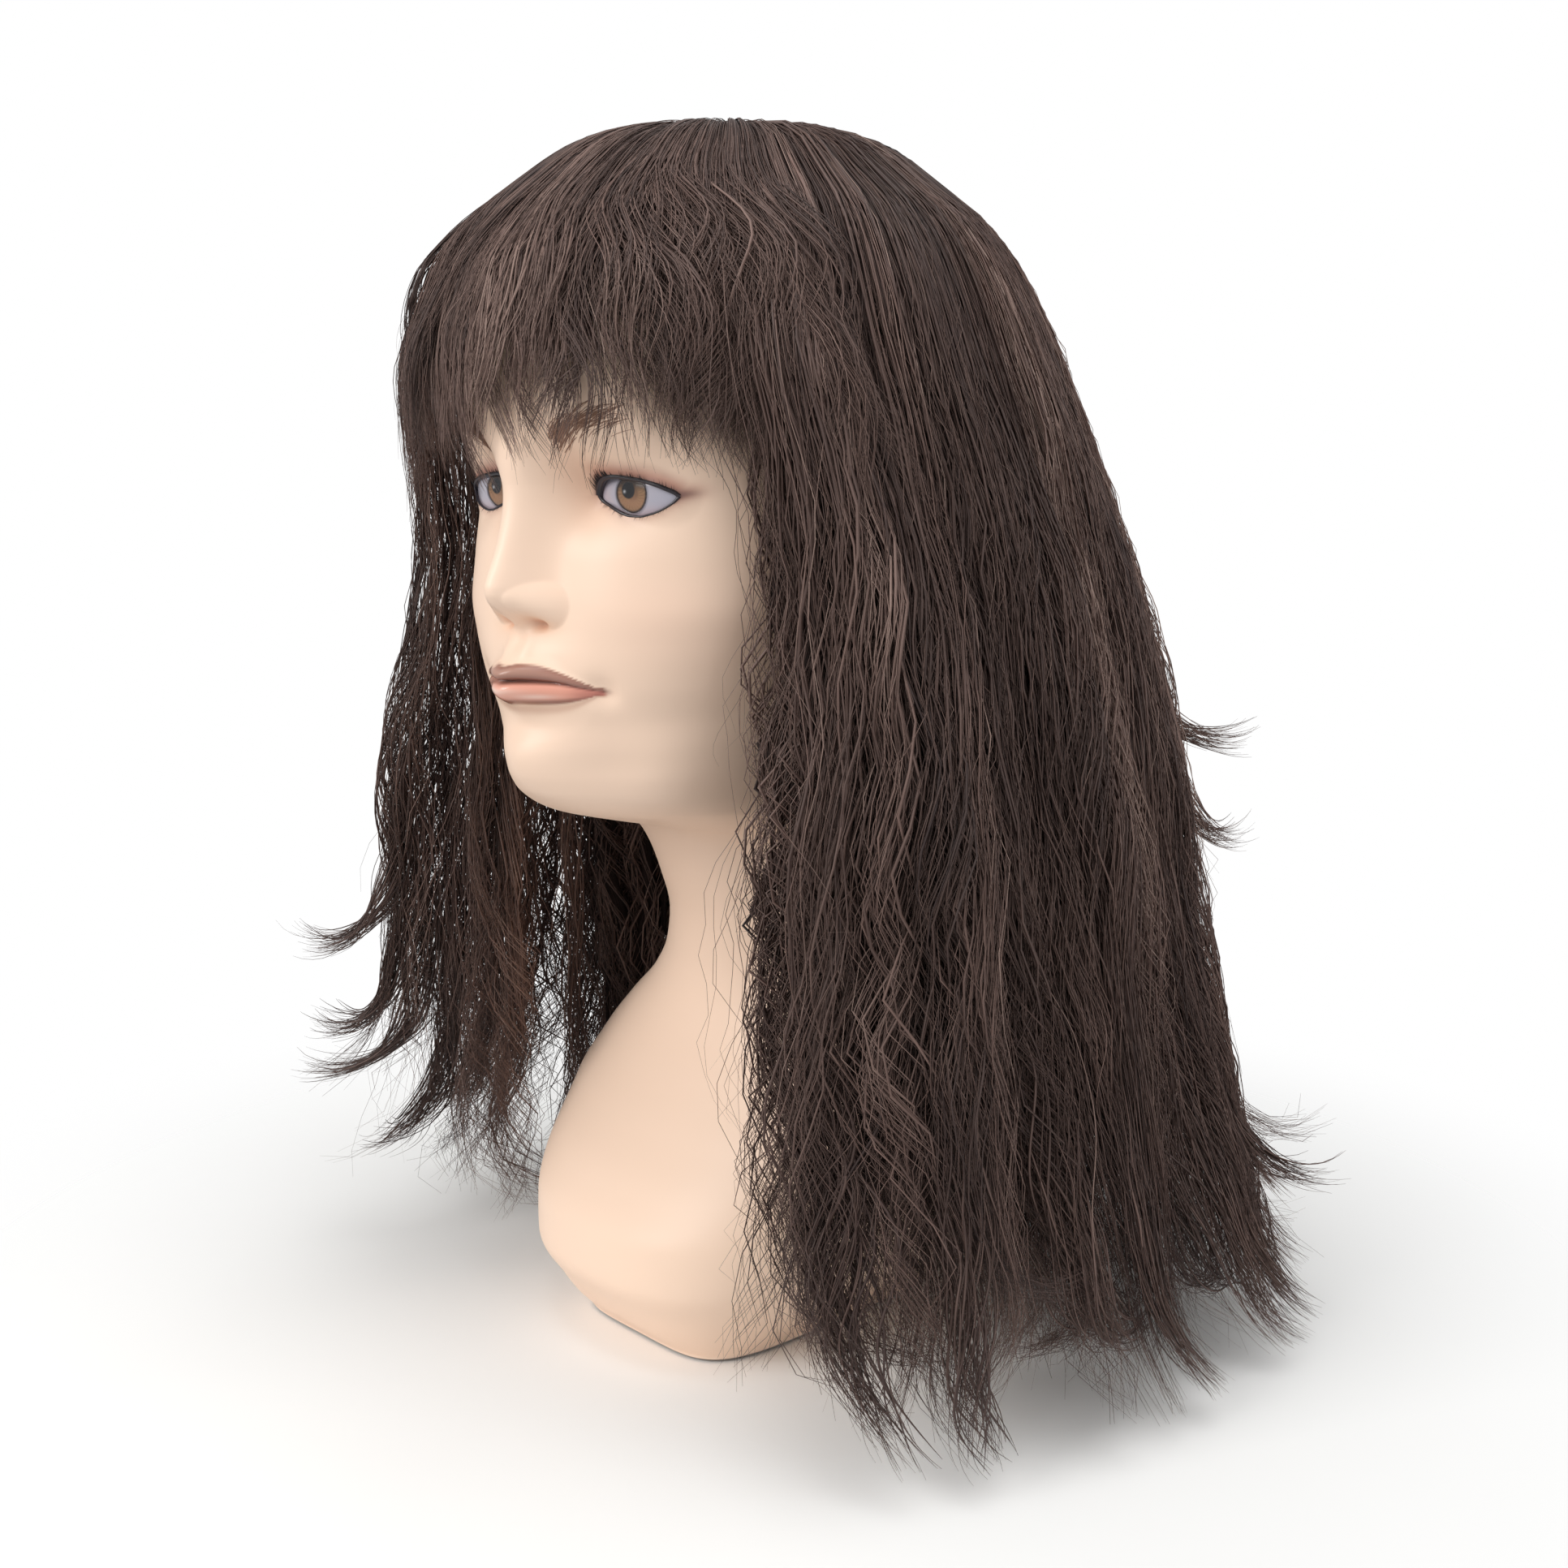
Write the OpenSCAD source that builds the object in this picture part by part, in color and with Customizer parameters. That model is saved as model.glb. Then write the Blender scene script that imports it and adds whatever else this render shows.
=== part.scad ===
// Mannequin training head: hollow moulded bust with set-in acrylic eyes,
// wearing a removable long wavy wig on an adjustable cap.
// Millimetres, +Z up. The bust looks along -Y and its own left side is +X.
// Origin: centre of the stand socket, on the plane the feet rest on.

/* [Bust] */
// Height of the bald crown above the table
bust_h = 400; // [385:1:415]
// Widest width of the head above the ears
head_w = 147; // [142:1:150]
// Wall thickness of the moulded shell
wall = 3.4; // [2.6:0.2:4]
// Turn of the head to its own left, on the neck
head_turn = 5; // [0:1:8]

/* [Base] */
// Thickness of the closing plate
plate_t = 6; // [5:0.5:8]
// Diameter of the socket bore for the stand pole
socket_bore_d = 25.6; // [22:0.2:26.4]
// Depth of the socket bore
socket_depth = 66; // [40:2:80]
// Diameter of each rubber foot
foot_d = 11; // [8:1:12]

/* [Eyes] */
// Diameter of each acrylic eye dome
eye_d = 29.2; // [28.4:0.2:29.6]
// Diameter of the iris disc
iris_d = 12; // [10.5:0.5:12.5]

/* [Wig cap] */
// Thickness of the stretch cap
cap_t = 1; // [0.8:0.1:1.2]
// Gap between the cap and the scalp
cap_gap = 1.2; // [1.1:0.1:1.4]
// Width of the elastic adjuster straps
strap_w = 8; // [6:0.5:8.5]

/* [Hair] */
// Lowest hair tips above the table on the left and back
tip_z = 6; // [4:1:30]
// Height of the fringe tips
fringe_z = 322; // [320:1:336]

/* [Hidden] */
$fn = 48;

// Tables are drawn for a 400 high, 147 wide bust and scaled from there
scale_z = bust_h / 400;
scale_x = head_w / 147;
left = 1;   // side values, the sign of x
right = -1;

// ---- Section tables: height, half width, front y, back y, roundness exponent
BUST = [
  [0, 41, -63, 58, 5], [4, 43, -66, 60, 4.6], [10, 48, -72, 61, 3.8], [19, 57, -79, 62, 3],
  [32, 69, -87, 62, 2.5], [44, 76, -86, 62, 2.3], [60, 82, -76, 62, 2.2],
  [77, 82, -61, 61, 2.15], [93, 75, -48, 59, 2.1], [107, 64, -39, 56, 2.1],
  [120, 52, -34, 54, 2.1], [132, 45.5, -32.5, 53, 2.1], [146, 43, -33, 53, 2.1],
  [160, 44.5, -37, 53, 2.1], [174, 47, -43, 54, 2.1], [184, 50, -53, 55, 2.1],
  [188, 51.5, -68, 56, 2.1], [192, 53, -84, 57, 2.1], [196, 54.5, -98, 58, 2.1],
  [200, 56, -105.5, 59, 2.1], [205, 58, -111.5, 60, 2.05], [211, 60, -114.5, 61, 2.05],
  [218, 61.5, -115.5, 62, 2.05], [228, 64, -113.5, 64, 2.05], [240, 67, -113, 66, 2.2],
  [252, 69, -112, 68, 2.45], [265, 70.8, -111, 69.5, 2.7], [278, 72, -110, 71, 2.65],
  [290, 72.7, -110.5, 72, 2.5], [300, 73.1, -112, 72.3, 2.4], [309, 73.4, -115, 72.3, 2.35],
  [318, 73.5, -117, 72.2, 2.3], [330, 73.2, -116.5, 71.3, 2.25], [345, 71.2, -112.5, 68.5, 2.18],
  [358, 67.5, -105.5, 63, 2.12], [369, 61.5, -96, 56, 2.08], [379, 53, -83.5, 45.5, 2.05],
  [387, 43, -70, 33, 2.02], [393, 32, -56, 19, 2], [397, 21, -43, 5, 2],
  [399.2, 10, -31, -9, 2], [400, 3, -23, -17, 2]];
// Outer line of the hair
HAIR = [
  [0, 163, -140, 188, 2.35], [37, 160, -140, 180, 2.35], [92, 147, -132, 165, 2.35],
  [146, 139, -128, 152, 2.3], [177, 136, -127, 148, 2.3], [217, 129, -124, 138, 2.3],
  [267, 119, -121, 126, 2.25], [308, 111, -125, 110, 2.2], [336, 106, -129, 96, 2.15],
  [365, 95, -119.5, 82, 2.1], [383, 83, -106, 69, 2.05], [396, 68, -91, 52, 2.05],
  [404, 58, -80, 42, 2], [411, 46, -66, 28, 2], [416, 30, -50, 12, 2],
  [418.5, 6, -25, -13, 2]];
// Height, y of the middle of the bust section
BUST_MID = [[0, 0], [100, 0], [150, 9], [185, 3], [200, 0], [240, -8], [300, -14], [400, -20]];
// Hair hangs outside this one section, clear of face, ears and shoulders
HANG = [88, -116, 84, 2.15];
HANG_MID = -15;

// One lookup table per section column
function columns(table) = [for (i = [1:4]) [for (row = table) [row[0], row[i]]]];
BUST_COLUMNS = columns(BUST);
HAIR_COLUMNS = columns(HAIR);
function section(cols, z) = [for (c = cols) lookup(z, c)];

function lerp(a, b, k) = a + (b - a) * k;
function ease(v) = let (u = min(max(v, 0), 1)) u * u * (3 - 2 * u);
function bell(v, w) = exp(-(v / w) * (v / w));
// share of a layer's offset that lifts it upward as the scalp flattens into the crown
function crown_share(z) = ease((z - 350) / 45);
// angles from near to far on the left, mirrored on the right
function side_span(side, near, far) = side > 0 ? [near, far] : [-far, -near];

// ---- Surfaces: in all of them t is the direction, 0 = front, 90 = own left
// distance from a section's middle to its edge; s is [half width, front, back, exponent]
function edge_radius(s, mid, t) =
  let (depth = cos(t) > 0 ? mid - s[1] : s[2] - mid)
  pow(pow(abs(sin(t)) / s[0], s[3]) + pow(abs(cos(t)) / depth, s[3]), -1 / s[3]);
function bust_mid(z) = lookup(z, BUST_MID);
function bust_radius(z, t) =
  let (s = section(BUST_COLUMNS, z))
  edge_radius([s[0] * scale_x, s[1], s[2], s[3]], bust_mid(z), t);
function ring_point(radius, mid, z, t) = [radius * sin(t), mid - radius * cos(t), z * scale_z];

// how far the face stands forward at section position x, height z
NOSE = [[250, 0], [257, 1], [261, 8], [265, 15], [268, 17.4], [273, 17], [283, 13.5],
  [295, 9], [304, 6], [314, 2], [324, 0]]; // height, rise
LIPS = [[226, 0], [231, 2], [236, 9.5], [239, 10.5], [241, 9.5], [244, 12.5], [247, 12],
  [251, 6], [256, 3], [262, 0]]; // height, rise
function face(x, z) =
  let (nose = bell(x, 5 + 5 * ease((300 - z) / 32)) * lookup(z, NOSE),
       nostrils = bell(abs(x) - 12, 5) * 5 * bell(z - 264, 6),
       lips = bell(x, 17) * lookup(z, LIPS),
       chin = bell(x, 14) * 3 * bell(z - 215, 9),
       eye_hollows = bell(abs(x) - 30, 15) * 10 * bell(z - 299, 10),
       inner_hollows = bell(abs(x) - 18, 7) * 7 * bell(z - 299, 10),
       cheeks = bell(abs(x) - 45, 14) * 2.5 * bell(z - 268, 14))
  nose + nostrils + lips + chin - eye_hollows - inner_hollows + cheeks;
function ear(z, t) = 9.5 * bell(abs(t) - 101, 6.5) * pow(max(0, 1 - pow((z - 290) / 28, 2)), 0.5);

// turn of the head, fading out down the neck
function turn(z) = head_turn * ease((z - 120) / 65);
function turned(x, y, angle) =
  [x * cos(angle) - y * sin(angle), x * sin(angle) + y * cos(angle)];
// point d outward of the bust's skin, with or without face and ears
function skin(z, t, d = 0, features = true) =
  let (radius = max(bust_radius(z, t) + d + (features ? ear(z, t) : 0), 0.6),
       x = radius * sin(t),
       y = bust_mid(z) - radius * cos(t) - (features && abs(t) < 85 ? face(x, z) : 0),
       xy = turned(x, y, turn(z)))
  [xy[0], xy[1], z * scale_z];

// The rest are in the head's own frame.
// point d outward of the plain scalp
function scalp(z, t, d) = ring_point(max(bust_radius(z, t) + d, 0.6), bust_mid(z), z, t);
// scalp point that also lifts towards the crown
function over_scalp(z, t, d, lift) = scalp(z, t, d) + [0, 0, lift * crown_share(z)];
// point on the hair's outer line
function mane(z, t) =
  let (s = section(HAIR_COLUMNS, z), mid = (s[1] + s[2]) / 2)
  ring_point(max(edge_radius(s, mid, t), 0.6), mid, z, t);
function hang(z, t) = ring_point(edge_radius(HANG, HANG_MID, t), HANG_MID, z, t);

module head_frame() {
  rotate([0, 0, head_turn]) children();
}

// Solid between two point grids of the same size (rows go up, columns go round).
// tip: the last row is one point; ring: columns close on themselves
module sheet(outer, inner, tip = false, ring = false) {
  rows = len(outer);
  cols = len(outer[0]);
  strips = ring ? cols : cols - 1;
  end = cols - 1;
  function o(r, c) = tip && r == rows - 1 ? r * cols : r * cols + (c % cols);
  function i(r, c) = rows * cols + o(r, c);
  function quad(a, b, c, d) = [[a, b, c], [a, c, d]];
  points = concat([for (row = outer) each row], [for (row = inner) each row]);
  triangles = concat(
    [for (r = [0:rows - 2]) for (c = [0:strips - 1])
      each quad(o(r, c), o(r + 1, c), o(r + 1, c + 1), o(r, c + 1))],
    [for (r = [0:rows - 2]) for (c = [0:strips - 1])
      each quad(i(r, c), i(r, c + 1), i(r + 1, c + 1), i(r + 1, c))],
    [for (c = [0:strips - 1]) each quad(o(0, c), o(0, c + 1), i(0, c + 1), i(0, c))],
    tip ? [] : [for (c = [0:strips - 1])
      each quad(o(rows - 1, c), i(rows - 1, c), i(rows - 1, c + 1), o(rows - 1, c + 1))],
    ring ? [] : [for (r = [0:rows - 2]) each quad(o(r, 0), i(r, 0), i(r + 1, 0), o(r + 1, 0))],
    ring ? [] : [for (r = [0:rows - 2])
      each quad(o(r, end), o(r + 1, end), i(r + 1, end), i(r, end))]);
  // triangles that collapse at the tip are left out
  polyhedron(points = points,
    faces = [for (f = triangles) if (f[0] != f[1] && f[1] != f[2] && f[0] != f[2]) f],
    convexity = 8);
}

// ---- Bust
shell_z = 1.2; // shell edge above the table
FRONT_HEIGHTS = [shell_z, 6, 19, 32, 44, 60, 77, 93, 107, 120, 132, 146, 160, 174, 184, 188, 192,
  196, 200, 205, 211, 218, 226, 231, 236, 239, 241.5, 245, 249, 254, 259, 263, 267, 272, 280,
  288, 295, 301, 308, 315, 325, 340, 358, 372, 384, 392, 397, 399.2, 400];
FRONT_ANGLES = [-90, -80, -70, -61, -52, -44, -36, -29, -23, -17.5, -12.5, -8, -4, 0,
  4, 8, 12.5, 17.5, 23, 29, 36, 44, 52, 61, 70, 80, 90];
REAR_HEIGHTS = [shell_z, 4, 10, 19, 32, 44, 60, 77, 93, 107, 120, 132, 146, 160, 174, 184, 196,
  211, 228, 246, 262, 268, 276, 285, 294, 303, 310, 316, 320, 330, 345, 358, 369, 379, 387,
  393, 397, 399.2, 400];
REAR_ANGLES = [90, 93, 96, 99, 102, 105, 109, 116, 125, 137, 150, 165, 180, 195, 210, 223, 235,
  244, 251, 255, 258, 261, 264, 267, 270];
SEAM_HEIGHTS = [32, 44, 60, 77, 93, 107, 120, 132, 146, 160, 174, 184, 196, 211, 228, 246, 262,
  280, 300, 315, 330, 345, 355];

// inner wall: inside the skin, lowered under the crown, raised over the underside of the chin,
// and never below the shell edge
function inner_wall(z, t, extra = 0) =
  let (p = skin(z, t, -wall - extra, false),
       drop = wall * crown_share(z) - wall * 0.9 * bell(z - 192, 9) * ease((90 - abs(t)) / 30))
  [p[0], p[1], max(p[2] - drop, shell_z)];

// lens-shaped prism along Y
module almond(width, height, length) {
  offset_z = (width * width / 4 - height * height / 4) / height;
  rotate([90, 0, 0]) linear_extrude(length, center = true) intersection() {
    translate([0, -offset_z]) circle(r = offset_z + height / 2, $fn = 60);
    translate([0, offset_z]) circle(r = offset_z + height / 2, $fn = 60);
  }
}

// resize with zeros leaves the shell at its built size
module front_shell() color([0.99, 0.88, 0.78]) resize([0, 0, 0]) difference() {
  sheet([for (z = FRONT_HEIGHTS) [for (t = FRONT_ANGLES) skin(z, t)]],
        [for (z = FRONT_HEIGHTS) [for (t = FRONT_ANGLES)
          inner_wall(z, t, abs(t) < 60 ? 1.5 : 0)]], tip = true);
  // lid opening, and a seat with clearance for the dome
  for (side = [-1, 1]) eye_at(side) {
    translate([0, -22, 0]) rotate([0, side * -3, 0]) almond(width = 28, height = 13, length = 24);
    rotate([90, 0, 0]) rotate_extrude($fn = 40) dome_2d(0.4);
  }
}

// set back 0.2 from the front shell
module rear_shell() color([0.99, 0.88, 0.78]) translate([0, 0.2, 0])
  sheet([for (z = REAR_HEIGHTS) [for (t = REAR_ANGLES) skin(z, t)]],
        [for (z = REAR_HEIGHTS) [for (t = REAR_ANGLES) inner_wall(z, t)]], tip = true);

// strips behind the two side seams, inside the wall
function seam_grid(side, depth) =
  let (span = side_span(side, 84, 96))
  [for (z = SEAM_HEIGHTS) [for (k = [0:4])
    skin(z, span[0] + 3 * k, -wall - depth, false) - [0, 0, 1.5]]];
module seam_tape() color([0.85, 0.86, 0.8])
  for (side = [-1, 1]) sheet(seam_grid(side, 2), seam_grid(side, 3));

// ---- Base
foot_h = 2.5;          // foot below the plate
foot_inset = 0.5;      // foot inside its recess
plate_z = foot_h;
plate_top = plate_z + plate_t;
plate_inset = wall - 3.4; // the plate shrinks as the wall grows
plate_half_w = 35 - plate_inset;
plate_front = 55 - plate_inset;
plate_back = 50.5 - plate_inset;
plate_corner_r = 12;
socket_r = socket_bore_d / 2;
socket_wall = 4;
screw_circle_r = 21.5; // socket flange screws
shank_r = 1.7;
block_x = 26;          // corner blocks and base screws
block_y = 29;
block_w = 13;
foot_x = 26;
foot_y = 42;

module at_corners(x, y, z = 0) {
  for (sx = [-1, 1], sy = [-1, 1]) translate([sx * x, sy * y, z]) children();
}
module at_socket_screws(z = 0) {
  for (a = [45:90:315]) rotate([0, 0, a]) translate([screw_circle_r, 0, z]) children();
}
module cross_slot(length, depth, width = 0.8) {
  translate([-length / 2, -width / 2, 0]) cube([length, width, depth]);
  translate([-width / 2, -length / 2, 0]) cube([width, length, depth]);
}

module plate_2d() {
  r = plate_corner_r;
  w = plate_half_w;
  translate([-w + r, -plate_front]) square([2 * (w - r), plate_front + plate_back]);
  translate([-w, -plate_front + r]) square([2 * w, plate_front + plate_back - 2 * r]);
  for (x = [-1, 1], y = [-plate_front + r, plate_back - r])
    translate([x * (w - r), y]) circle(r = r);
}
module base_plate() color([0.35, 0.33, 0.31]) difference() {
  translate([0, 0, plate_z]) linear_extrude(plate_t) plate_2d();
  translate([0, 0, plate_z - 1])
    cylinder(r = socket_r + socket_wall + 0.3, h = plate_t + 2, $fn = 64);
  at_corners(block_x, block_y, plate_z - 1) {
    cylinder(r = 2.2, h = plate_t + 2);
    cylinder(r = 4.3, h = 3.2); // counterbore for the head
  }
  at_socket_screws(plate_z + 1.5) cylinder(r = 1.9, h = plate_t);
  at_corners(foot_x, foot_y, plate_z - 1) cylinder(r = foot_d / 2 + 0.2, h = 1.6);
}

// closed-top tube with a flange on the plate
module stand_socket() color([0.75, 0.76, 0.78]) difference() {
  union() {
    cylinder(r = socket_r + socket_wall, h = socket_depth + 4, $fn = 64);
    translate([0, 0, plate_top + 0.1]) cylinder(r = 25.5, h = 3, $fn = 64);
  }
  translate([0, 0, -1]) cylinder(r = socket_r, h = socket_depth + 1, $fn = 64);
  at_socket_screws(plate_top - 1) cylinder(r = 2.1, h = 6);
}

module socket_screws() color([0.7, 0.7, 0.72]) at_socket_screws() difference() {
  union() {
    translate([0, 0, plate_z + 1.8]) cylinder(r = shank_r, h = plate_t + 1.6);
    translate([0, 0, plate_top + 3.2]) cylinder(r = 3.4, h = 2.2);
  }
  translate([0, 0, plate_top + 4.4]) cross_slot(length = 4.4, depth = 2);
}

module corner_blocks() color([0.8, 0.7, 0.52])
  at_corners(block_x, block_y, plate_top + 0.1) difference() {
    translate([-block_w / 2, -block_w / 2, 0]) cube([block_w, block_w, 17]);
    translate([0, 0, -1]) cylinder(r = 1.9, h = 14);
  }

module base_screws() color([0.7, 0.7, 0.72]) at_corners(block_x, block_y) difference() {
  union() {
    translate([0, 0, plate_z + 0.1]) cylinder(r = 3.9, h = 1.9);
    translate([0, 0, plate_z + 1.9]) cylinder(r = shank_r, h = 15);
  }
  cross_slot(length = 5, depth = plate_z + 1);
}

module rubber_feet() color([0.12, 0.12, 0.12])
  at_corners(foot_x, foot_y) cylinder(r = foot_d / 2, h = foot_h + foot_inset);

// ---- Eyes: white domes with an iris recess, an iris disc and a clear cap,
// turned about the line of sight
eye_r = 20; // curvature of the eye dome
eye_h = 9;  // depth of the eye dome
eye_x = 32.5;
eye_y = -76.6;
eye_z = 298.5;

module eye_at(side) {
  head_frame() translate([side * eye_x * scale_x, eye_y, eye_z * scale_z]) children();
}
// half profile of the dome, grown by a clearance
module dome_2d(gap = 0) intersection() {
  circle(r = eye_r + gap, $fn = 96);
  translate([0, eye_r - eye_h - gap]) square([eye_d / 2 + gap, eye_h + 3 * gap]);
}
module eye_dome(side) color([0.86, 0.88, 0.92])
  eye_at(side) rotate([90, 0, 0]) rotate_extrude($fn = 96) difference() {
    dome_2d();
    translate([-1, eye_r - 1.6]) square([iris_d / 2 + 1.15, 5]);
  }
// disc with the pupil hole
module eye_iris(side) color([0.55, 0.4, 0.25])
  eye_at(side) rotate([90, 0, 0]) translate([0, 0, eye_r - 1.55]) difference() {
    cylinder(r = iris_d / 2, h = 0.4);
    translate([0, 0, -0.5]) cylinder(r = 2.1, h = 2);
  }
module eye_cornea(side) color([0.9, 0.95, 1, 0.35])
  eye_at(side) rotate([90, 0, 0]) rotate_extrude($fn = 96) intersection() {
    circle(r = eye_r + 0.2, $fn = 96);
    translate([0, eye_r - 1.1]) square([iris_d / 2, 5]);
  }
// open cups bonded behind the domes
module eye_cups() color([0.9, 0.88, 0.8])
  for (side = [-1, 1])
    eye_at(side) rotate([90, 0, 0]) translate([0, 0, eye_r - eye_h - 6.2]) difference() {
      cylinder(r = eye_d / 2 - 1, h = 6, $fn = 64);
      translate([0, 0, 1.5]) cylinder(r = eye_d / 2 - 2.6, h = 6, $fn = 64);
    }

// upper lid line, k from 0 at the inner corner to 10 at the outer
function lid(k, side) =
  let (u = (k - 5) / 5, x = side * (eye_x + 12.2 * u))
  [x * scale_x, eye_y - 21.4 + 5 * u * u, (eye_z + 5.6 - 4.8 * u * u) * scale_z];
// strip from root (j = 0) to tip (j = 1), reaching forward and up
function lash_grid(side, forward, reach, up) =
  [for (j = [0:1]) [for (q = [0:10])
    lid(side > 0 ? q : 10 - q, side) + [0, -forward - reach * j, up + 2.2 * j]]];
module lashes(side) color([0.06, 0.05, 0.06]) head_frame()
  sheet(lash_grid(side, forward = 3.0, reach = 3.6, up = 2.2),
        lash_grid(side, forward = 3.8, reach = 3.2, up = 1.6));

// ---- Wig cap
cap_side_z = 326;                  // cap edge at the sides and back
// Direction from the front, height of the cap edge
CAP_EDGE = [[0, 352], [30, 350], [50, 340], [66, 328], [78, cap_side_z], [180, cap_side_z]];
on_cap = cap_gap + cap_t + 0.3;    // just outside the cap, above the scalp
function edge_z(t) = lookup(abs(t > 180 ? t - 360 : t), CAP_EDGE);

CAP_STEPS = [0, 0.1, 0.25, 0.42, 0.58, 0.72, 0.83, 0.91, 0.965, 1]; // edge to crown
function cap_grid(gap) =
  [for (k = CAP_STEPS) [for (c = [0:43])
    let (t = c * 360 / 44) over_scalp(lerp(edge_z(t), 400, k), t, gap, gap)]];
module cap_dome() color([0.1, 0.09, 0.09]) head_frame()
  sheet(cap_grid(cap_gap + cap_t), cap_grid(cap_gap), tip = true, ring = true);

// tape along the front hairline, on the outside of the cap edge
function front_band_grid(gap) =
  [for (j = [0:2]) [for (q = [0:16])
    let (t = -62 + 7.75 * q) scalp(edge_z(t) + 1 + 4 * j, t, gap) + [0, 0, 0.5]]];
module front_band() color([0.72, 0.58, 0.46]) head_frame()
  sheet(front_band_grid(on_cap + 0.7), front_band_grid(on_cap));

// skin-like patch where the crown hair is knotted in
function crown_patch_grid(gap) =
  [for (k = [0, 0.4, 0.75, 1]) [for (c = [0:23])
    scalp(lerp(391, 400, k), c * 15, gap) + [0, 0, gap + 0.1]]];
module crown_patch() color([0.62, 0.5, 0.42]) head_frame()
  sheet(crown_patch_grid(on_cap + 0.8), crown_patch_grid(on_cap + 0.2), tip = true, ring = true);

// tabs in front of the ears, narrowing downward
function ear_point(side, z, t, out) = scalp(z, t, 0) + [side * (cap_gap + out), 0, 0];
function ear_tab_grid(side, out) =
  let (span = side_span(side, 68, 84))
  [for (j = [0:3]) [for (q = [0:4])
    let (taper = (q == 0 ? 1 : q == 4 ? -1 : 0) * 3 * (1 - j / 3))
    ear_point(side, lerp(302, 325.6, j / 3), span[0] + 4 * q + taper, out)]];
module ear_tab(side) color([0.1, 0.09, 0.09]) head_frame()
  sheet(ear_tab_grid(side, 1.4), ear_tab_grid(side, 0.6));

function stay_grid(side, out) =
  [for (z = [306, 314, 322]) [for (t = side_span(side, 74, 78)) ear_point(side, z, t, out)]];
module ear_tab_stays() color([0.75, 0.76, 0.78])
  for (side = [-1, 1]) head_frame() sheet(stay_grid(side, 2.4), stay_grid(side, 1.8));

// Nape parts are upright ring sectors about the neck axis, layered outward
curtain_r = 77.2;
band_r = curtain_r + cap_t + 0.3;
strap_r = band_r + 1.3;
hook_r = strap_r + 1.2;
strap_z0 = 237 - strap_w / 2;
strap_z1 = 237 + strap_w / 2;

// span angles are measured from straight back, towards the left side
module arc(r0, r1, z0, z1, span) {
  head_frame() translate([0, 0, z0 * scale_z])
    linear_extrude((z1 - z0) * scale_z) intersection() {
      difference() {
        circle(r = r1, $fn = 180);
        circle(r = r0, $fn = 180);
      }
      polygon(concat([[0, 0]], [for (k = [0:6])
        let (a = lerp(span[0], span[1], k / 6)) [140 * sin(a), 140 * cos(a)]]));
    }
}

module nape_curtain() color([0.1, 0.09, 0.09])
  arc(curtain_r, curtain_r + cap_t, 228, 325.4, [-56, 56]);
module nape_band() color([0.08, 0.08, 0.08]) arc(band_r, band_r + 1, 229, 245, [-55, 55]);
// loops the straps pass through
module strap_keepers() color([0.08, 0.08, 0.08]) for (a = [-50, -35, 31, 46]) difference() {
  arc(strap_r - 0.2, hook_r + 0.7, strap_z0 - 2, strap_z1 + 2, [a, a + 4]);
  arc(strap_r - 1, strap_r + 1, strap_z0 - 0.4, strap_z1 + 0.4, [a - 1, a + 5]);
}
// tape at the centre back with five raised ribs
module loop_tape() color([0.15, 0.15, 0.16]) {
  arc(strap_r, strap_r + 0.7, strap_z0 - 1, strap_z1 + 1, [-7.5, 7.5]);
  for (a = [-6:3:6])
    arc(strap_r + 0.65, strap_r + 1, strap_z0 + 1, strap_z1 - 1, [a - 0.5, a + 0.5]);
}
module strap(side) color([0.1, 0.1, 0.11])
  arc(strap_r, strap_r + 0.8, strap_z0, strap_z1, side_span(side, 15, 53));
// wide pad on the strap end, then a narrow tongue towards the centre
module hook(side) color([0.2, 0.2, 0.21]) {
  arc(hook_r, hook_r + 0.9, strap_z0 + 0.8, strap_z1 - 0.8, side_span(side, 15.5, 20));
  arc(hook_r + 0.15, hook_r + 0.9, strap_z0 + 2.6, strap_z1 - 2.6, side_span(side, 8.5, 16));
}

// rows of machine-sewn hair round the cap and down the nape curtain
function weft_grid(z0, gap, lift) =
  [for (z = [z0, z0 + 3]) [for (q = [0:18]) over_scalp(z, 74 + 212 / 18 * q, gap, lift)]];
module cap_wefts() color([0.16, 0.12, 0.1]) {
  for (z = [334, 346, 358, 369, 379]) head_frame()
    sheet(weft_grid(z, on_cap + 1.9, on_cap + 1.8), weft_grid(z, on_cap + 0.8, on_cap + 0.8));
  for (z = [256, 270, 284, 298, 311]) arc(band_r, band_r + 1.2, z, z + 3, [-54, 54]);
}

// ---- Hair, as plain closed volumes
hair_gap = 7.4; // inside of the hair above the scalp
lock_top = 361; // top of every lock, under the crown hair

// inner line of the hair: over the scalp, easing out to the hang line below the cap edge
function hair_inner(z, t) =
  z > cap_side_z ? over_scalp(z, t, hair_gap, hair_gap)
  : let (low = hang(z, t), high = scalp(cap_side_z, t, hair_gap), k = ease((cap_side_z - z) / 30))
    [lerp(high[0], low[0], k), lerp(high[1], low[1], k), z * scale_z];
// Side faces lie on straight lines between the two hair lines, so that neighbours never cross.
// Point d inward of the outer line, at most 0.6 of the way
function from_outer(z, t, d) =
  let (m = mane(z, t), i = hair_inner(z, t)) lerp(m, i, min(d / norm(i - m), 0.6));
// point d outward of the inner line
function from_inner(z, t, d) =
  let (m = mane(z, t), i = hair_inner(z, t)) lerp(i, m, d / norm(m - i));

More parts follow.
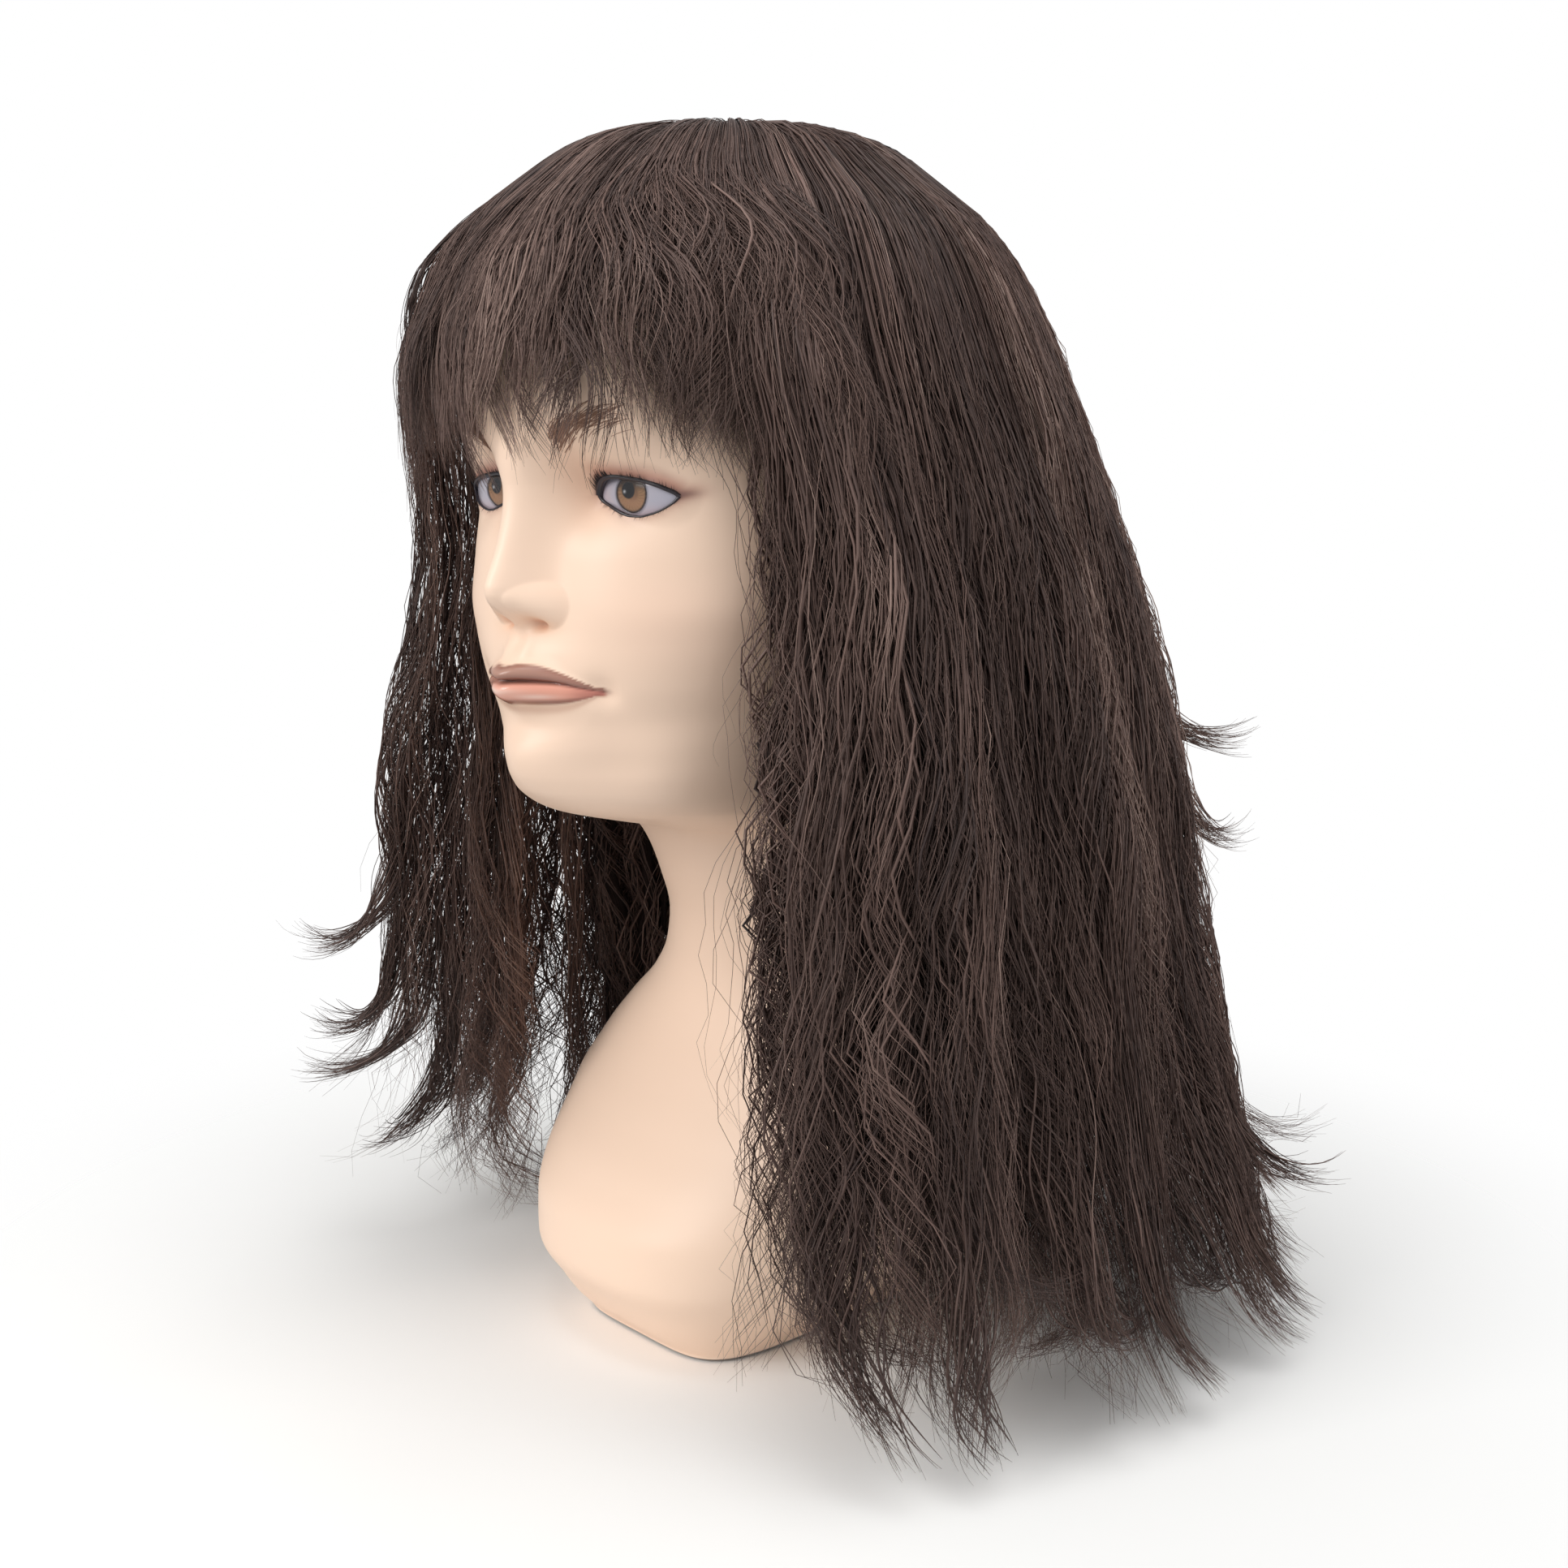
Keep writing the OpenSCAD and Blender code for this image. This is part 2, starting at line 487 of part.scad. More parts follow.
// inset thins a lock from inside, recess from outside; its side edges are rounded off by 6
module lock(span, cols, bottom, rows = 14, inset = 0, recess = 0) {
  head_frame() sheet(
    [for (j = [0:rows]) [for (q = [0:cols])
      let (k = q / cols, edge_drop = 6 * pow(2 * abs(k - 0.5), 6))
      from_outer(lerp(bottom, lock_top, j / rows), lerp(span[0], span[1], k),
        edge_drop + recess)]],
    [for (j = [0:rows]) [for (q = [0:cols])
      from_inner(lerp(bottom, lock_top, j / rows), lerp(span[0], span[1], q / cols), inset)]]);
}

module crown_hair() color([0.2, 0.15, 0.12]) head_frame() {
  steps = [0, 0.16, 0.34, 0.54, 0.74, 0.9, 1]; // edge to crown
  sheet([for (k = steps) [for (c = [0:35]) mane(lerp(367, 418.5, k), c * 10)]],
        [for (k = steps) [for (c = [0:35])
          over_scalp(lerp(363, 400, k), c * 10, hair_gap, hair_gap)]],
        tip = true, ring = true);
}
module fringe_hair() color([0.2, 0.15, 0.12])
  lock([-58, 58], cols = 24, bottom = fringe_z, rows = 4);
module front_lock(side) color([0.2, 0.15, 0.12])
  lock(side_span(side, 60, 76), cols = 4, bottom = side > 0 ? tip_z + 10 : 40, recess = 8);
module side_hair(side) color([0.2, 0.15, 0.12])
  lock(side_span(side, 77, 124), cols = 9, bottom = side > 0 ? tip_z : 22);
module back_hair() color([0.2, 0.15, 0.12])
  lock([125, 235], cols = 20, bottom = tip_z, rows = 15, inset = 2);
module nape_hair() color([0.18, 0.13, 0.11])
  arc(curtain_r + 0.4, curtain_r + 5.5, 70, 227, [-38, 38]);

front_shell();
rear_shell();
seam_tape();
base_plate();
stand_socket();
socket_screws();
corner_blocks();
base_screws();
rubber_feet();
eye_dome(left);  // left_eye
eye_dome(right);  // right_eye
eye_iris(left);  // left_iris
eye_iris(right);  // right_iris
eye_cornea(left);  // left_cornea
eye_cornea(right);  // right_cornea
eye_cups();
lashes(left);  // left_lashes
lashes(right);  // right_lashes
cap_dome();
front_band();
crown_patch();
nape_curtain();
ear_tab(left);  // left_ear_tab
ear_tab(right);  // right_ear_tab
ear_tab_stays();
nape_band();
strap_keepers();
loop_tape();
cap_wefts();
strap(left);  // left_adjuster_strap
strap(right);  // right_adjuster_strap
hook(left);  // left_adjuster_hook
hook(right);  // right_adjuster_hook
crown_hair();
fringe_hair();
front_lock(left);  // left_front_lock
front_lock(right);  // right_front_lock
side_hair(left);  // left_side_hair
side_hair(right);  // right_side_hair
back_hair();
nape_hair();
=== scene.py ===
"""Mannequin training head: a moulded glossy bust with set-in eyes and a long wavy wig.

Sizes are in millimetres and become metres when a mesh is made. +Z is up, the face looks
along -Y and the head's own left is +X. Shapes are worked out in the head's own frame, then
turned HEAD_TURN about Z into the part frame. Angles round the head are in degrees: 0 at
the front, 90 at its own left.
"""
from types import SimpleNamespace

import bpy
import numpy as np
from mathutils import Matrix, Vector
from numpy import (clip, concatenate, cos, hypot, linspace, maximum, minimum, pi, radians, sin,
                   sqrt, stack, where)


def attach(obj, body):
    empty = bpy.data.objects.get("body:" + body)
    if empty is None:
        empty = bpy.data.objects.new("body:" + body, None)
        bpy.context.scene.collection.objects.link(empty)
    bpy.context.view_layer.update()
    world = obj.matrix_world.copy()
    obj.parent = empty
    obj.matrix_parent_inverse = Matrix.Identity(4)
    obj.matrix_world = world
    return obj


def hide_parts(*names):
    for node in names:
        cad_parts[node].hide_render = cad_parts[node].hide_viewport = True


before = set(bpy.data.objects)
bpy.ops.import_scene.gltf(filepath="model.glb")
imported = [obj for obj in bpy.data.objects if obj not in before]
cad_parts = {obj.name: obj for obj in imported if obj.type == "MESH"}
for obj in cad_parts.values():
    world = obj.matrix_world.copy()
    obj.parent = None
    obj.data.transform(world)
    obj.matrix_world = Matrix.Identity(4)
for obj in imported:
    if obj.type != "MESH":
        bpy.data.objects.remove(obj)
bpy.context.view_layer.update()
face_rng = np.random.default_rng(20261)

MM = 0.001
HEAD_TURN = radians(5)
SIDES = ((1, "left"), (-1, "right"))

# Level sections of the bust: height, half width, front y, back y, roundness power
BUST = np.array([
    [0, 41, -63, 58, 5], [4, 43, -66, 60, 4.6], [10, 48, -72, 61, 3.8], [19, 57, -79, 62, 3],
    [32, 69, -87, 62, 2.5], [44, 76, -86, 62, 2.3], [60, 82, -76, 62, 2.2],
    [77, 82, -61, 61, 2.15], [93, 75, -48, 59, 2.1], [107, 64, -39, 56, 2.1],
    [120, 52, -34, 54, 2.1], [132, 45.5, -32.5, 53, 2.1], [146, 43, -33, 53, 2.1],
    [160, 44.5, -37, 53, 2.1], [174, 47, -43, 54, 2.1], [184, 50, -53, 55, 2.1],
    [188, 51.5, -68, 56, 2.1], [192, 53, -84, 57, 2.1], [196, 54.5, -98, 58, 2.1],
    [200, 56, -105.5, 59, 2.1], [205, 58, -111.5, 60, 2.05], [211, 60, -114.5, 61, 2.05],
    [218, 61.5, -115.5, 62, 2.05], [228, 64, -113.5, 64, 2.05], [240, 67, -113, 66, 2.2],
    [252, 69, -112, 68, 2.45], [265, 70.8, -111, 69.5, 2.7], [278, 72, -110, 71, 2.65],
    [290, 72.7, -110.5, 72, 2.5], [300, 73.1, -112, 72.3, 2.4], [309, 73.4, -115, 72.3, 2.35],
    [318, 73.5, -117, 72.2, 2.3], [330, 73.2, -116.5, 71.3, 2.25],
    [345, 71.2, -112.5, 68.5, 2.18], [358, 67.5, -105.5, 63, 2.12], [369, 61.5, -96, 56, 2.08],
    [379, 53, -83.5, 45.5, 2.05], [387, 43, -70, 33, 2.02], [393, 32, -56, 19, 2],
    [397, 21, -43, 5, 2], [399.2, 10, -31, -9, 2], [400, 3, -23, -17, 2]], float)
# Middle of the bust: height, y
MIDDLE = np.array([[0, 0], [100, 0], [150, 9], [185, 3], [200, 0], [240, -8], [300, -14],
                   [400, -20]], float)
# Outer line of the hair, columns as for the bust
HAIR = np.array([
    [0, 163, -140, 188, 2.35], [37, 160, -140, 180, 2.35], [92, 147, -132, 165, 2.35],
    [146, 139, -128, 152, 2.3], [177, 136, -127, 148, 2.3], [217, 129, -124, 138, 2.3],
    [267, 119, -121, 126, 2.25], [308, 111, -125, 110, 2.2], [336, 106, -129, 96, 2.15],
    [365, 95, -119.5, 82, 2.1], [383, 83, -106, 69, 2.05], [396, 68, -91, 52, 2.05],
    [404, 58, -80, 42, 2], [411, 46, -66, 28, 2], [416, 30, -50, 12, 2],
    [418.5, 6, -25, -13, 2]], float)
HEAD_TOP, HAIR_TOP = BUST[-1, 0], HAIR[-1, 0]
EYE_X, EYE_Y, EYE_Z = 32.5, -76.6, 298.5
LID_R = 20.0 + 1.7


# ---------------------------------------------------------------- curves and easing
class Curve:
    """Monotone cubic through stations, flat outside them."""

    def __init__(self, at, value):
        step = np.diff(at)
        rise = np.diff(value) / step
        before, after = 2 * step[1:] + step[:-1], step[1:] + 2 * step[:-1]
        with np.errstate(divide="ignore", invalid="ignore"):
            mean = (before + after) / (before / rise[:-1] + after / rise[1:])
        slope = np.zeros_like(value)
        slope[1:-1] = where(rise[1:] * rise[:-1] > 0, mean, 0)
        slope[0], slope[-1] = rise[0], rise[-1]
        self.at, self.value, self.step, self.slope = at, value, step, slope

    def __call__(self, query):
        query = clip(query, self.at[0], self.at[-1])
        i = clip(np.searchsorted(self.at, query, side="right") - 1, 0, len(self.step) - 1)
        step = self.step[i]
        u = (query - self.at[i]) / step
        u2, u3 = u * u, u * u * u
        return ((2 * u3 - 3 * u2 + 1) * self.value[i] + (u3 - 2 * u2 + u) * step * self.slope[i]
                + (3 * u2 - 2 * u3) * self.value[i + 1] + (u3 - u2) * step * self.slope[i + 1])


def curves(table):
    """One curve for each column after the first."""
    return [Curve(table[:, 0], column) for column in table.T[1:]]


def curve(*rows):
    return curves(np.array(rows, float))[0]


def ease(t):
    """Smooth step from 0 at t = 0 to 1 at t = 1."""
    u = clip(t, 0, 1)
    return u * u * (3 - 2 * u)


def bell(offset, width):
    return np.exp(-(offset / width) ** 2)


def lerp(start, end, share):
    return start + (end - start) * share


def wrap(angle):
    return (angle + 180) % 360 - 180


def rotate(x, y, turn):
    return x * cos(turn) - y * sin(turn), x * sin(turn) + y * cos(turn)


def turned(points):
    """Head frame to part frame."""
    x, y = rotate(points[..., 0], points[..., 1], HEAD_TURN)
    return stack([x, y, points[..., 2]], -1)


# ---------------------------------------------------------------- surfaces of bust and hair
BUST_HALF, BUST_FRONT, BUST_BACK, BUST_POWER = curves(BUST)
HAIR_HALF, HAIR_FRONT, HAIR_BACK, HAIR_POWER = curves(HAIR)
MIDDLE_Y = curves(MIDDLE)[0]

# Nose against height: how far it stands out, and its width
NOSE_RISE = curve(
    (249, 0), (253, .5), (256, 1.6), (258, 3.8), (260, 7.2), (262, 10.8), (264, 13.8),
    (266, 15.9), (268, 17.1), (270, 17.4), (273, 16.7), (278, 14.6), (284, 12.1), (291, 9.7),
    (298, 7.6), (304, 6.2), (310, 4.4), (317, 2.2), (325, .7), (334, 0))
NOSE_WIDTH = curve(
    (249, 7), (258, 7.6), (264, 8.6), (269, 8.8), (274, 8.6), (282, 8.4), (292, 8.6),
    (300, 9.4), (308, 12), (316, 16), (328, 22))
# Swell round the mouth against height
MUZZLE = curve(
    (214, 0), (220, .4), (225, 1.3), (229, 3.0), (233, 5.8), (237, 7.8), (241, 8.8),
    (245, 8.9), (249, 7.6), (253, 4.6), (257, 1.6), (262, 0))
# Fullness of the lips against lip place
LIP_PROFILE = curve(
    (-2.6, 0), (-1.9, -.12), (-1.45, -.16), (-1.18, -.05), (-1.0, .2), (-.85, .52),
    (-.62, .88), (-.4, 1.0), (-.2, .88), (-.09, .55), (0, -.1), (.1, .5), (.22, .84),
    (.42, 1.0), (.62, .95), (.82, .68), (1.0, .38), (1.15, .2), (1.45, .06), (1.9, 0), (2.6, 0))
# Against distance from the middle: height of the seam, depth of each lip
LIP_SEAM = curve((0, 240.8), (5, 241.1), (12, 240.9), (17, 240.4), (21, 239.4), (24, 238.5),
                 (26.5, 238), (32, 237.9))
UPPER_LIP = curve((0, 4.7), (2.5, 5.0), (5, 5.4), (8.5, 5.2), (12.5, 4.4), (16, 3.5),
                  (19, 2.8), (22, 2.1), (24.5, 1.2), (26.8, .4), (30, .4))
LOWER_LIP = curve((0, 7.6), (6, 7.6), (12, 7.2), (17, 6.1), (20, 4.6), (22.5, 3.0),
                  (24.8, 1.4), (26.8, .4), (30, .4))
# Soft bumps on both halves: rise, distance from the middle, width, height, spread in height
FACE_BUMPS = (
    (-4.2, 7.0, 3.2, 258.6, 1.8),   # nostrils
    (-.9, 0, 2.3, 251.5, 4),        # groove under the nose
    (.5, 4.4, 2, 250.5, 4),         # ridges beside the groove
    (-2.4, 26.6, 4.2, 238.2, 4.5),  # corners of the mouth
    (2.6, 0, 12, 215, 9),           # chin
    (-3.0, 49, 15, 278, 23),        # cheeks
    (-6.4, 26, 13, 214, 14),        # beside the chin
    (.8, 27, 19, 322, 9))           # brows


def on_section(half, front, back, power, mid_y, angle, out=0.0):
    """x and y on an egg-shaped level section, moved outward by out."""
    turn = radians(angle)
    depth = where(cos(turn) > 0, mid_y - front, back - mid_y)
    radius = ((np.abs(sin(turn)) / half) ** power
              + (np.abs(cos(turn)) / depth) ** power) ** (-1 / power)
    radius = maximum(radius + out, .6)
    return radius * sin(turn), mid_y - radius * cos(turn)


def scalp(z, angle, out):
    """Plain bust, without ears and face."""
    return on_section(BUST_HALF(z), BUST_FRONT(z), BUST_BACK(z), BUST_POWER(z), MIDDLE_Y(z),
                      angle, out)


def mane(z, angle):
    """Outer line of the hair."""
    front, back = HAIR_FRONT(z), HAIR_BACK(z)
    return on_section(HAIR_HALF(z), front, back, HAIR_POWER(z), (front + back) / 2, angle)


def hang(angle):
    """Inner line of the hair where it hangs free below the head."""
    return on_section(88.0, -116.0, 84.0, 2.15, -15.0, angle)


def lip_place(x, z):
    """0 at the seam, 1 at the upper border of the lips, -1 at the lower one."""
    side = np.abs(x)
    above = z - LIP_SEAM(side)
    return where(above > 0, above / maximum(UPPER_LIP(side), 1.2),
                 above / maximum(LOWER_LIP(side), 1.4))


def relief(x, z):
    """How far the face stands forward of the plain bust."""
    side = np.abs(x)
    out = NOSE_RISE(z) * np.exp(-(side / NOSE_WIDTH(z)) ** 2.1)
    wing = clip(1 - ((side - 10.4) / 7.4) ** 2 - ((z - 264.4) / 7.6) ** 2, 0, 1)
    out += 4.6 * wing ** 1.1 * (1 - .2 * bell(side - 6.0, 3))
    out += MUZZLE(z) * (.52 * bell(side, 8.5) + .28 * clip(1 - (side / 30) ** 2, 0, 1) ** 1.6)
    out += LIP_PROFILE(lip_place(x, z)) * (
        3.6 * bell(side, 12) + 1.7 * clip(1 - (side / 27.2) ** 2, 0, 1) ** .7)
    # eye sockets, reaching further above the eye than below
    reach = where(z > 299, 15.0, 13.0)
    out -= 9.6 * bell(side - 31, 17) * bell(z - 299, reach)
    out -= 5.6 * bell(side - 18.5, 7) * bell(z - 298.5, reach - 2)
    for rise, place, width, height, spread in FACE_BUMPS:
        out += rise * bell(side - place, width) * bell(z - height, spread)
    return out


def add_lids(x, z, y):
    """Blends the lid domes over the eyes into the depth y."""
    blend = 2.4
    for side in (-1, 1):
        dx, dz = x - side * EYE_X, z - EYE_Z
        square = LID_R ** 2 - dx * dx - dz * dz
        lid = where(square > 16, EYE_Y - sqrt(maximum(square, 16)), 50.0)
        share = clip(.5 + .5 * (y - lid) / blend, 0, 1)
        blended = lerp(y, lid, share) - blend * share * (1 - share)
        y = lerp(y, blended, ease(bell(dx, 17) * bell(dz, 13) * 2.2))
        # crease over the upper lid
        crease = 9.4 - 6.4 * (dx * side / 17) ** 2 - .08 * dx * side
        y = y + .35 * bell(dz - crease, 1.5) * ease((17 - np.abs(dx)) / 6)
    return y


def front_y(x, z):
    """Depth of the front skin in the head frame."""
    power, middle = BUST_POWER(z), MIDDLE_Y(z)
    u = clip(np.abs(x) / BUST_HALF(z), 0, .9999)
    y = middle - (middle - BUST_FRONT(z)) * (1 - u ** power) ** (1 / power) - relief(x, z)
    return add_lids(x, z, y)


def ear(z, angle):
    """How far the ears stand out."""
    rise = (z - 290) / 28
    span = sqrt(clip(1 - rise * rise, 0, 1))
    side = np.abs(wrap(angle))
    leant = side - 2.2 * rise
    rim = bell(leant - 103, 4.2) * 9.5 * span
    bowl = bell(leant - 98, 2.6) * 3.6 * sqrt(clip(1 - ((z - 293) / 17) ** 2, 0, 1))
    tragus = bell(side - 92.5, 1.8) * 2.2 * bell(z - 288, 5)
    body = bell(leant - 99, 6.0) * 3.6 * span
    return rim * .72 + body - bowl + tragus


def skin_xy(z, angle, out):
    """Bust with ears, face and lids."""
    x, y = scalp(z, angle, out + ear(z, angle))
    return x, where(np.abs(wrap(angle)) < 84, add_lids(x, z, y - relief(x, z)), y)


# ---------------------------------------------------------------- mesh helpers
def make(name, points, faces, material, body="bust", replaces=(), slot=None, uv=None,
         attrs=None, paint=None):
    """Mesh object from points in mm and an index array, or a list of such arrays."""
    if not isinstance(faces, list):
        faces = [faces]
    mesh = bpy.data.meshes.new(name)
    points = points.reshape(-1, 3)
    mesh.vertices.add(len(points))
    mesh.vertices.foreach_set("co", (points * MM).astype(np.float32).ravel())
    corners = concatenate([face.ravel() for face in faces]).astype(np.int32)
    sizes = concatenate([np.full(len(face), face.shape[1], np.int32) for face in faces])
    mesh.loops.add(len(corners))
    mesh.loops.foreach_set("vertex_index", corners)
    mesh.polygons.add(len(sizes))
    starts = concatenate([[0], np.cumsum(sizes)[:-1]]).astype(np.int32)
    mesh.polygons.foreach_set("loop_start", starts)
    mesh.update(calc_edges=True)
    mesh.validate()
    mesh.polygons.foreach_set("use_smooth", np.full(len(mesh.polygons), True))
    if uv is not None:
        layer = mesh.uv_layers.new(name="OFBake")
        index = np.zeros(len(mesh.loops), np.int32)
        mesh.loops.foreach_get("vertex_index", index)
        layer.data.foreach_set("uv", np.asarray(uv, np.float32)[index].ravel())
    for key, values in (attrs or {}).items():
        layer = mesh.attributes.new(key, "FLOAT", "POINT")
        layer.data.foreach_set("value", np.asarray(values, np.float32))
    if paint is not None:
        layer = mesh.attributes.new("paint", "FLOAT_COLOR", "POINT")
        colors = np.ones((len(points), 4), np.float32)
        colors[:, :3] = paint.reshape(-1, 3)
        layer.data.foreach_set("color", colors.ravel())
    piece = bpy.data.objects.new(name, mesh)
    bpy.context.scene.collection.objects.link(piece)
    mesh.materials.append(material)
    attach(piece, body)
    if replaces:
        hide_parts(*replaces)
    return piece


def grid_faces(rows, cols, closed=False, base=0):
    row = np.arange(rows - 1)[:, None] * cols
    col = np.arange(cols if closed else cols - 1)[None, :]
    here, after = row + col, row + (col + 1) % cols
    return stack([here, after, after + cols, here + cols], -1).reshape(-1, 4) + base


def sheet(outer, inner, closed=False):
    """Solid sheet between two point grids (rows, cols, 3)."""
    rows, cols = outer.shape[:2]
    count = rows * cols
    col = np.arange(cols if closed else cols - 1)
    after = (col + 1) % cols
    top = (rows - 1) * cols
    faces = [grid_faces(rows, cols, closed), grid_faces(rows, cols, closed, count)[:, ::-1],
             stack([after, col, col + count, after + count], -1),
             stack([top + col, top + after, top + after + count, top + col + count], -1)]
    if not closed:
        first = np.arange(rows - 1) * cols
        last = first + cols - 1
        faces.append(stack([first, first + cols, first + cols + count, first + count], -1))
        faces.append(stack([last + cols, last, last + count, last + cols + count], -1))
    return concatenate([outer.reshape(-1, 3), inner.reshape(-1, 3)]), concatenate(faces)


def tubes(paths, radii, sides, across, flat=1.0):
    """Tubes along paths (strands, points, 3), widened by flat along the direction across."""
    count, length = paths.shape[:2]
    along = np.gradient(paths, axis=1)
    along /= maximum(np.linalg.norm(along, axis=-1, keepdims=True), 1e-9)
    wide = across - (across * along).sum(-1, keepdims=True) * along
    wide /= maximum(np.linalg.norm(wide, axis=-1, keepdims=True), 1e-9)
    thin = np.cross(along, wide)
    corner = np.arange(sides)
    turn = (corner * 2 * pi / sides)[:, None]
    offset = cos(turn) * wide[..., None, :] * flat + sin(turn) * thin[..., None, :]
    points = (paths[..., None, :] + radii[..., None, None] * offset).reshape(-1, 3)
    ring = (np.arange(count)[:, None] * length + np.arange(length - 1))[..., None] * sides
    here, after = ring + corner, ring + (corner + 1) % sides
    faces = stack([here, after, after + sides, here + sides], -1).reshape(-1, 4)
    # each strand gets its own upright strip of the texture, in rows of strips
    rows = max(1, int(round(sqrt(count / 300.0))))
    per_row = -(-count // rows)
    strand = np.arange(count)[:, None, None]
    fold = (minimum(corner, sides - corner) / sides * 1.6 + .1) / per_row
    u = (strand % per_row) / per_row + fold
    v = (strand // per_row) / rows + (linspace(.01, .99, length) / rows)[:, None]
    return points, faces, stack(np.broadcast_arrays(u, v), -1).reshape(-1, 2)


def join(parts):
    """Joins parts that start with points and faces."""
    starts = np.cumsum([0] + [len(part[0]) for part in parts])
    return (concatenate([part[0] for part in parts]),
            concatenate([part[1] + start for part, start in zip(parts, starts)]))


def join_uv(parts, places):
    """UVs of the parts, each scaled and shifted to its place."""
    return concatenate([part[2] * scale + shift for part, (scale, shift) in zip(parts, places)])


# ---------------------------------------------------------------- material helpers
def rgb(*levels):
    """Linear colour from sRGB levels of 0 to 255."""
    level = np.array(levels) / 255.0
    return where(level <= .04045, level / 12.92, ((level + .055) / 1.055) ** 2.4)


def rgba(*levels):
    return (*rgb(*levels), 1.0)


def grey(level):
    return (level, level, level, 1)


class Shader:
    """Principled material, with helpers that return output sockets."""

    def __init__(self, name, color, rough, metal=0.0, spec=.5, coat=0.0, coat_rough=.1):
        self.material = bpy.data.materials.new(name)
        self.material.use_nodes = True
        self.tree = self.material.node_tree
        self.surface = next(n for n in self.tree.nodes if n.type == "BSDF_PRINCIPLED")
        self.feed(self.surface, {
            "Base Color": color, "Roughness": rough, "Metallic": metal,
            "Specular IOR Level": spec, "Coat Weight": coat, "Coat Roughness": coat_rough})

    def feed(self, node, inputs):
        """Links or sets the named inputs of a node."""
        for key, value in inputs.items():
            if isinstance(value, bpy.types.NodeSocket):
                self.tree.links.new(value, node.inputs[key])
            else:
                node.inputs[key].default_value = value

    def node(self, kind, output=0, inputs=None, **settings):
        node = self.tree.nodes.new("ShaderNode" + kind)
        for key, value in settings.items():
            setattr(node, key, value)
        self.feed(node, inputs or {})
        return node.outputs[output]

    def coords(self, stretch=(1, 1, 1), kind="Object"):
        place = self.node("TexCoord", kind)
        return self.node("Mapping", inputs={"Vector": place, "Scale": stretch})

    def noise(self, scale, detail, stretch=(1, 1, 1), kind="Object"):
        return self.node("TexNoise", "Fac", {
            "Scale": scale, "Detail": detail, "Vector": self.coords(stretch, kind)})

    def ramp(self, fac, *stops):
        color = self.node("ValToRGB", "Color", {"Fac": fac})
        elements = color.node.color_ramp.elements
        while len(elements) < len(stops):
            elements.new(.5)
        for element, (position, value) in zip(elements, stops):
            element.position = position
            element.color = value
        return color

    def mix(self, fac, first, second):
        return self.node("Mix", 2, {0: fac, 6: first, 7: second}, data_type="RGBA")

    def attr(self, name, output="Fac"):
        return self.node("Attribute", output, attribute_name=name)

    def base(self, color):
        self.feed(self.surface, {"Base Color": color})

    def bump(self, height, strength, distance):
        normal = self.node("Bump", "Normal", {
            "Strength": strength, "Distance": distance, "Height": height})
        self.feed(self.surface, {"Normal": normal})


def speckled(name, first, second, scale, rough, bump=0, distance=.0002, stretch=(1, 1, 1),
             **finish):
    """Two colours in fine noise."""
    shader = Shader(name, rgba(*first), rough, **finish)
    spots = shader.noise(scale=scale, detail=4, stretch=stretch)
    shader.base(shader.ramp(spots, (.3, rgba(*first)), (.7, rgba(*second))))
    if bump:
        shader.bump(spots, bump, distance)
    return shader.material


def woven(name, thread, gap, pitch):
    """Knitted net: two crossed sets of threads, pitch metres apart."""
    shader = Shader(name, rgba(*thread), rough=.85, spec=.25)
    place = shader.coords()
    threads = [shader.node("TexWave", "Fac", {
        "Scale": .31 / pitch, "Distortion": .6, "Vector": place}, bands_direction=direction)
        for direction in ("DIAGONAL", "Z")]
    height = shader.node("Math", inputs=dict(enumerate(threads)), operation="MAXIMUM")
    shader.base(shader.ramp(height, (.32, rgba(*gap)), (.62, rgba(*thread))))
    shader.bump(height, strength=.6, distance=.0004)
    return shader.material


# ---------------------------------------------------------------- materials
def skin_material():
    shader = Shader("moulded_skin", rgba(250, 224, 199), rough=.46, spec=.4, coat=.12,
                    coat_rough=.3)
    blotches = shader.ramp(shader.noise(scale=9, detail=2), (.35, grey(0)), (.7, grey(.16)))
    shader.base(shader.mix(blotches, shader.attr("paint", "Color"), rgba(246, 214, 186)))
    shader.bump(shader.noise(scale=60, detail=5), strength=.03, distance=.0003)
    shader.feed(shader.surface, {"Roughness": shader.node("MapRange", "Result", {
        "To Min": .47, "To Max": .1, "Value": shader.attr("gloss")})})
    return shader.material


def hair_material():
    """Strand colour by tint, with a painted grey sheen where it springs from the crown."""
    shader = Shader("hair", rgba(84, 68, 58), rough=.5, spec=.38)
    color = shader.ramp(shader.attr("tint"), (0, rgba(40, 30, 31)), (.35, rgba(80, 63, 58)),
                        (.7, rgba(126, 102, 94)), (1, rgba(174, 149, 138)))
    streaks = shader.noise(scale=46, detail=3, stretch=(1, .016, 1), kind="UV")
    streaks = shader.ramp(streaks, (.3, grey(0)), (.75, grey(.45)))
    color = shader.mix(streaks, color, rgba(112, 88, 80))
    # painted sheen: the grey attribute lightens the strands near the crown
    shader.base(shader.mix(shader.attr("grey"), color, rgba(116, 109, 109)))
    return shader.material


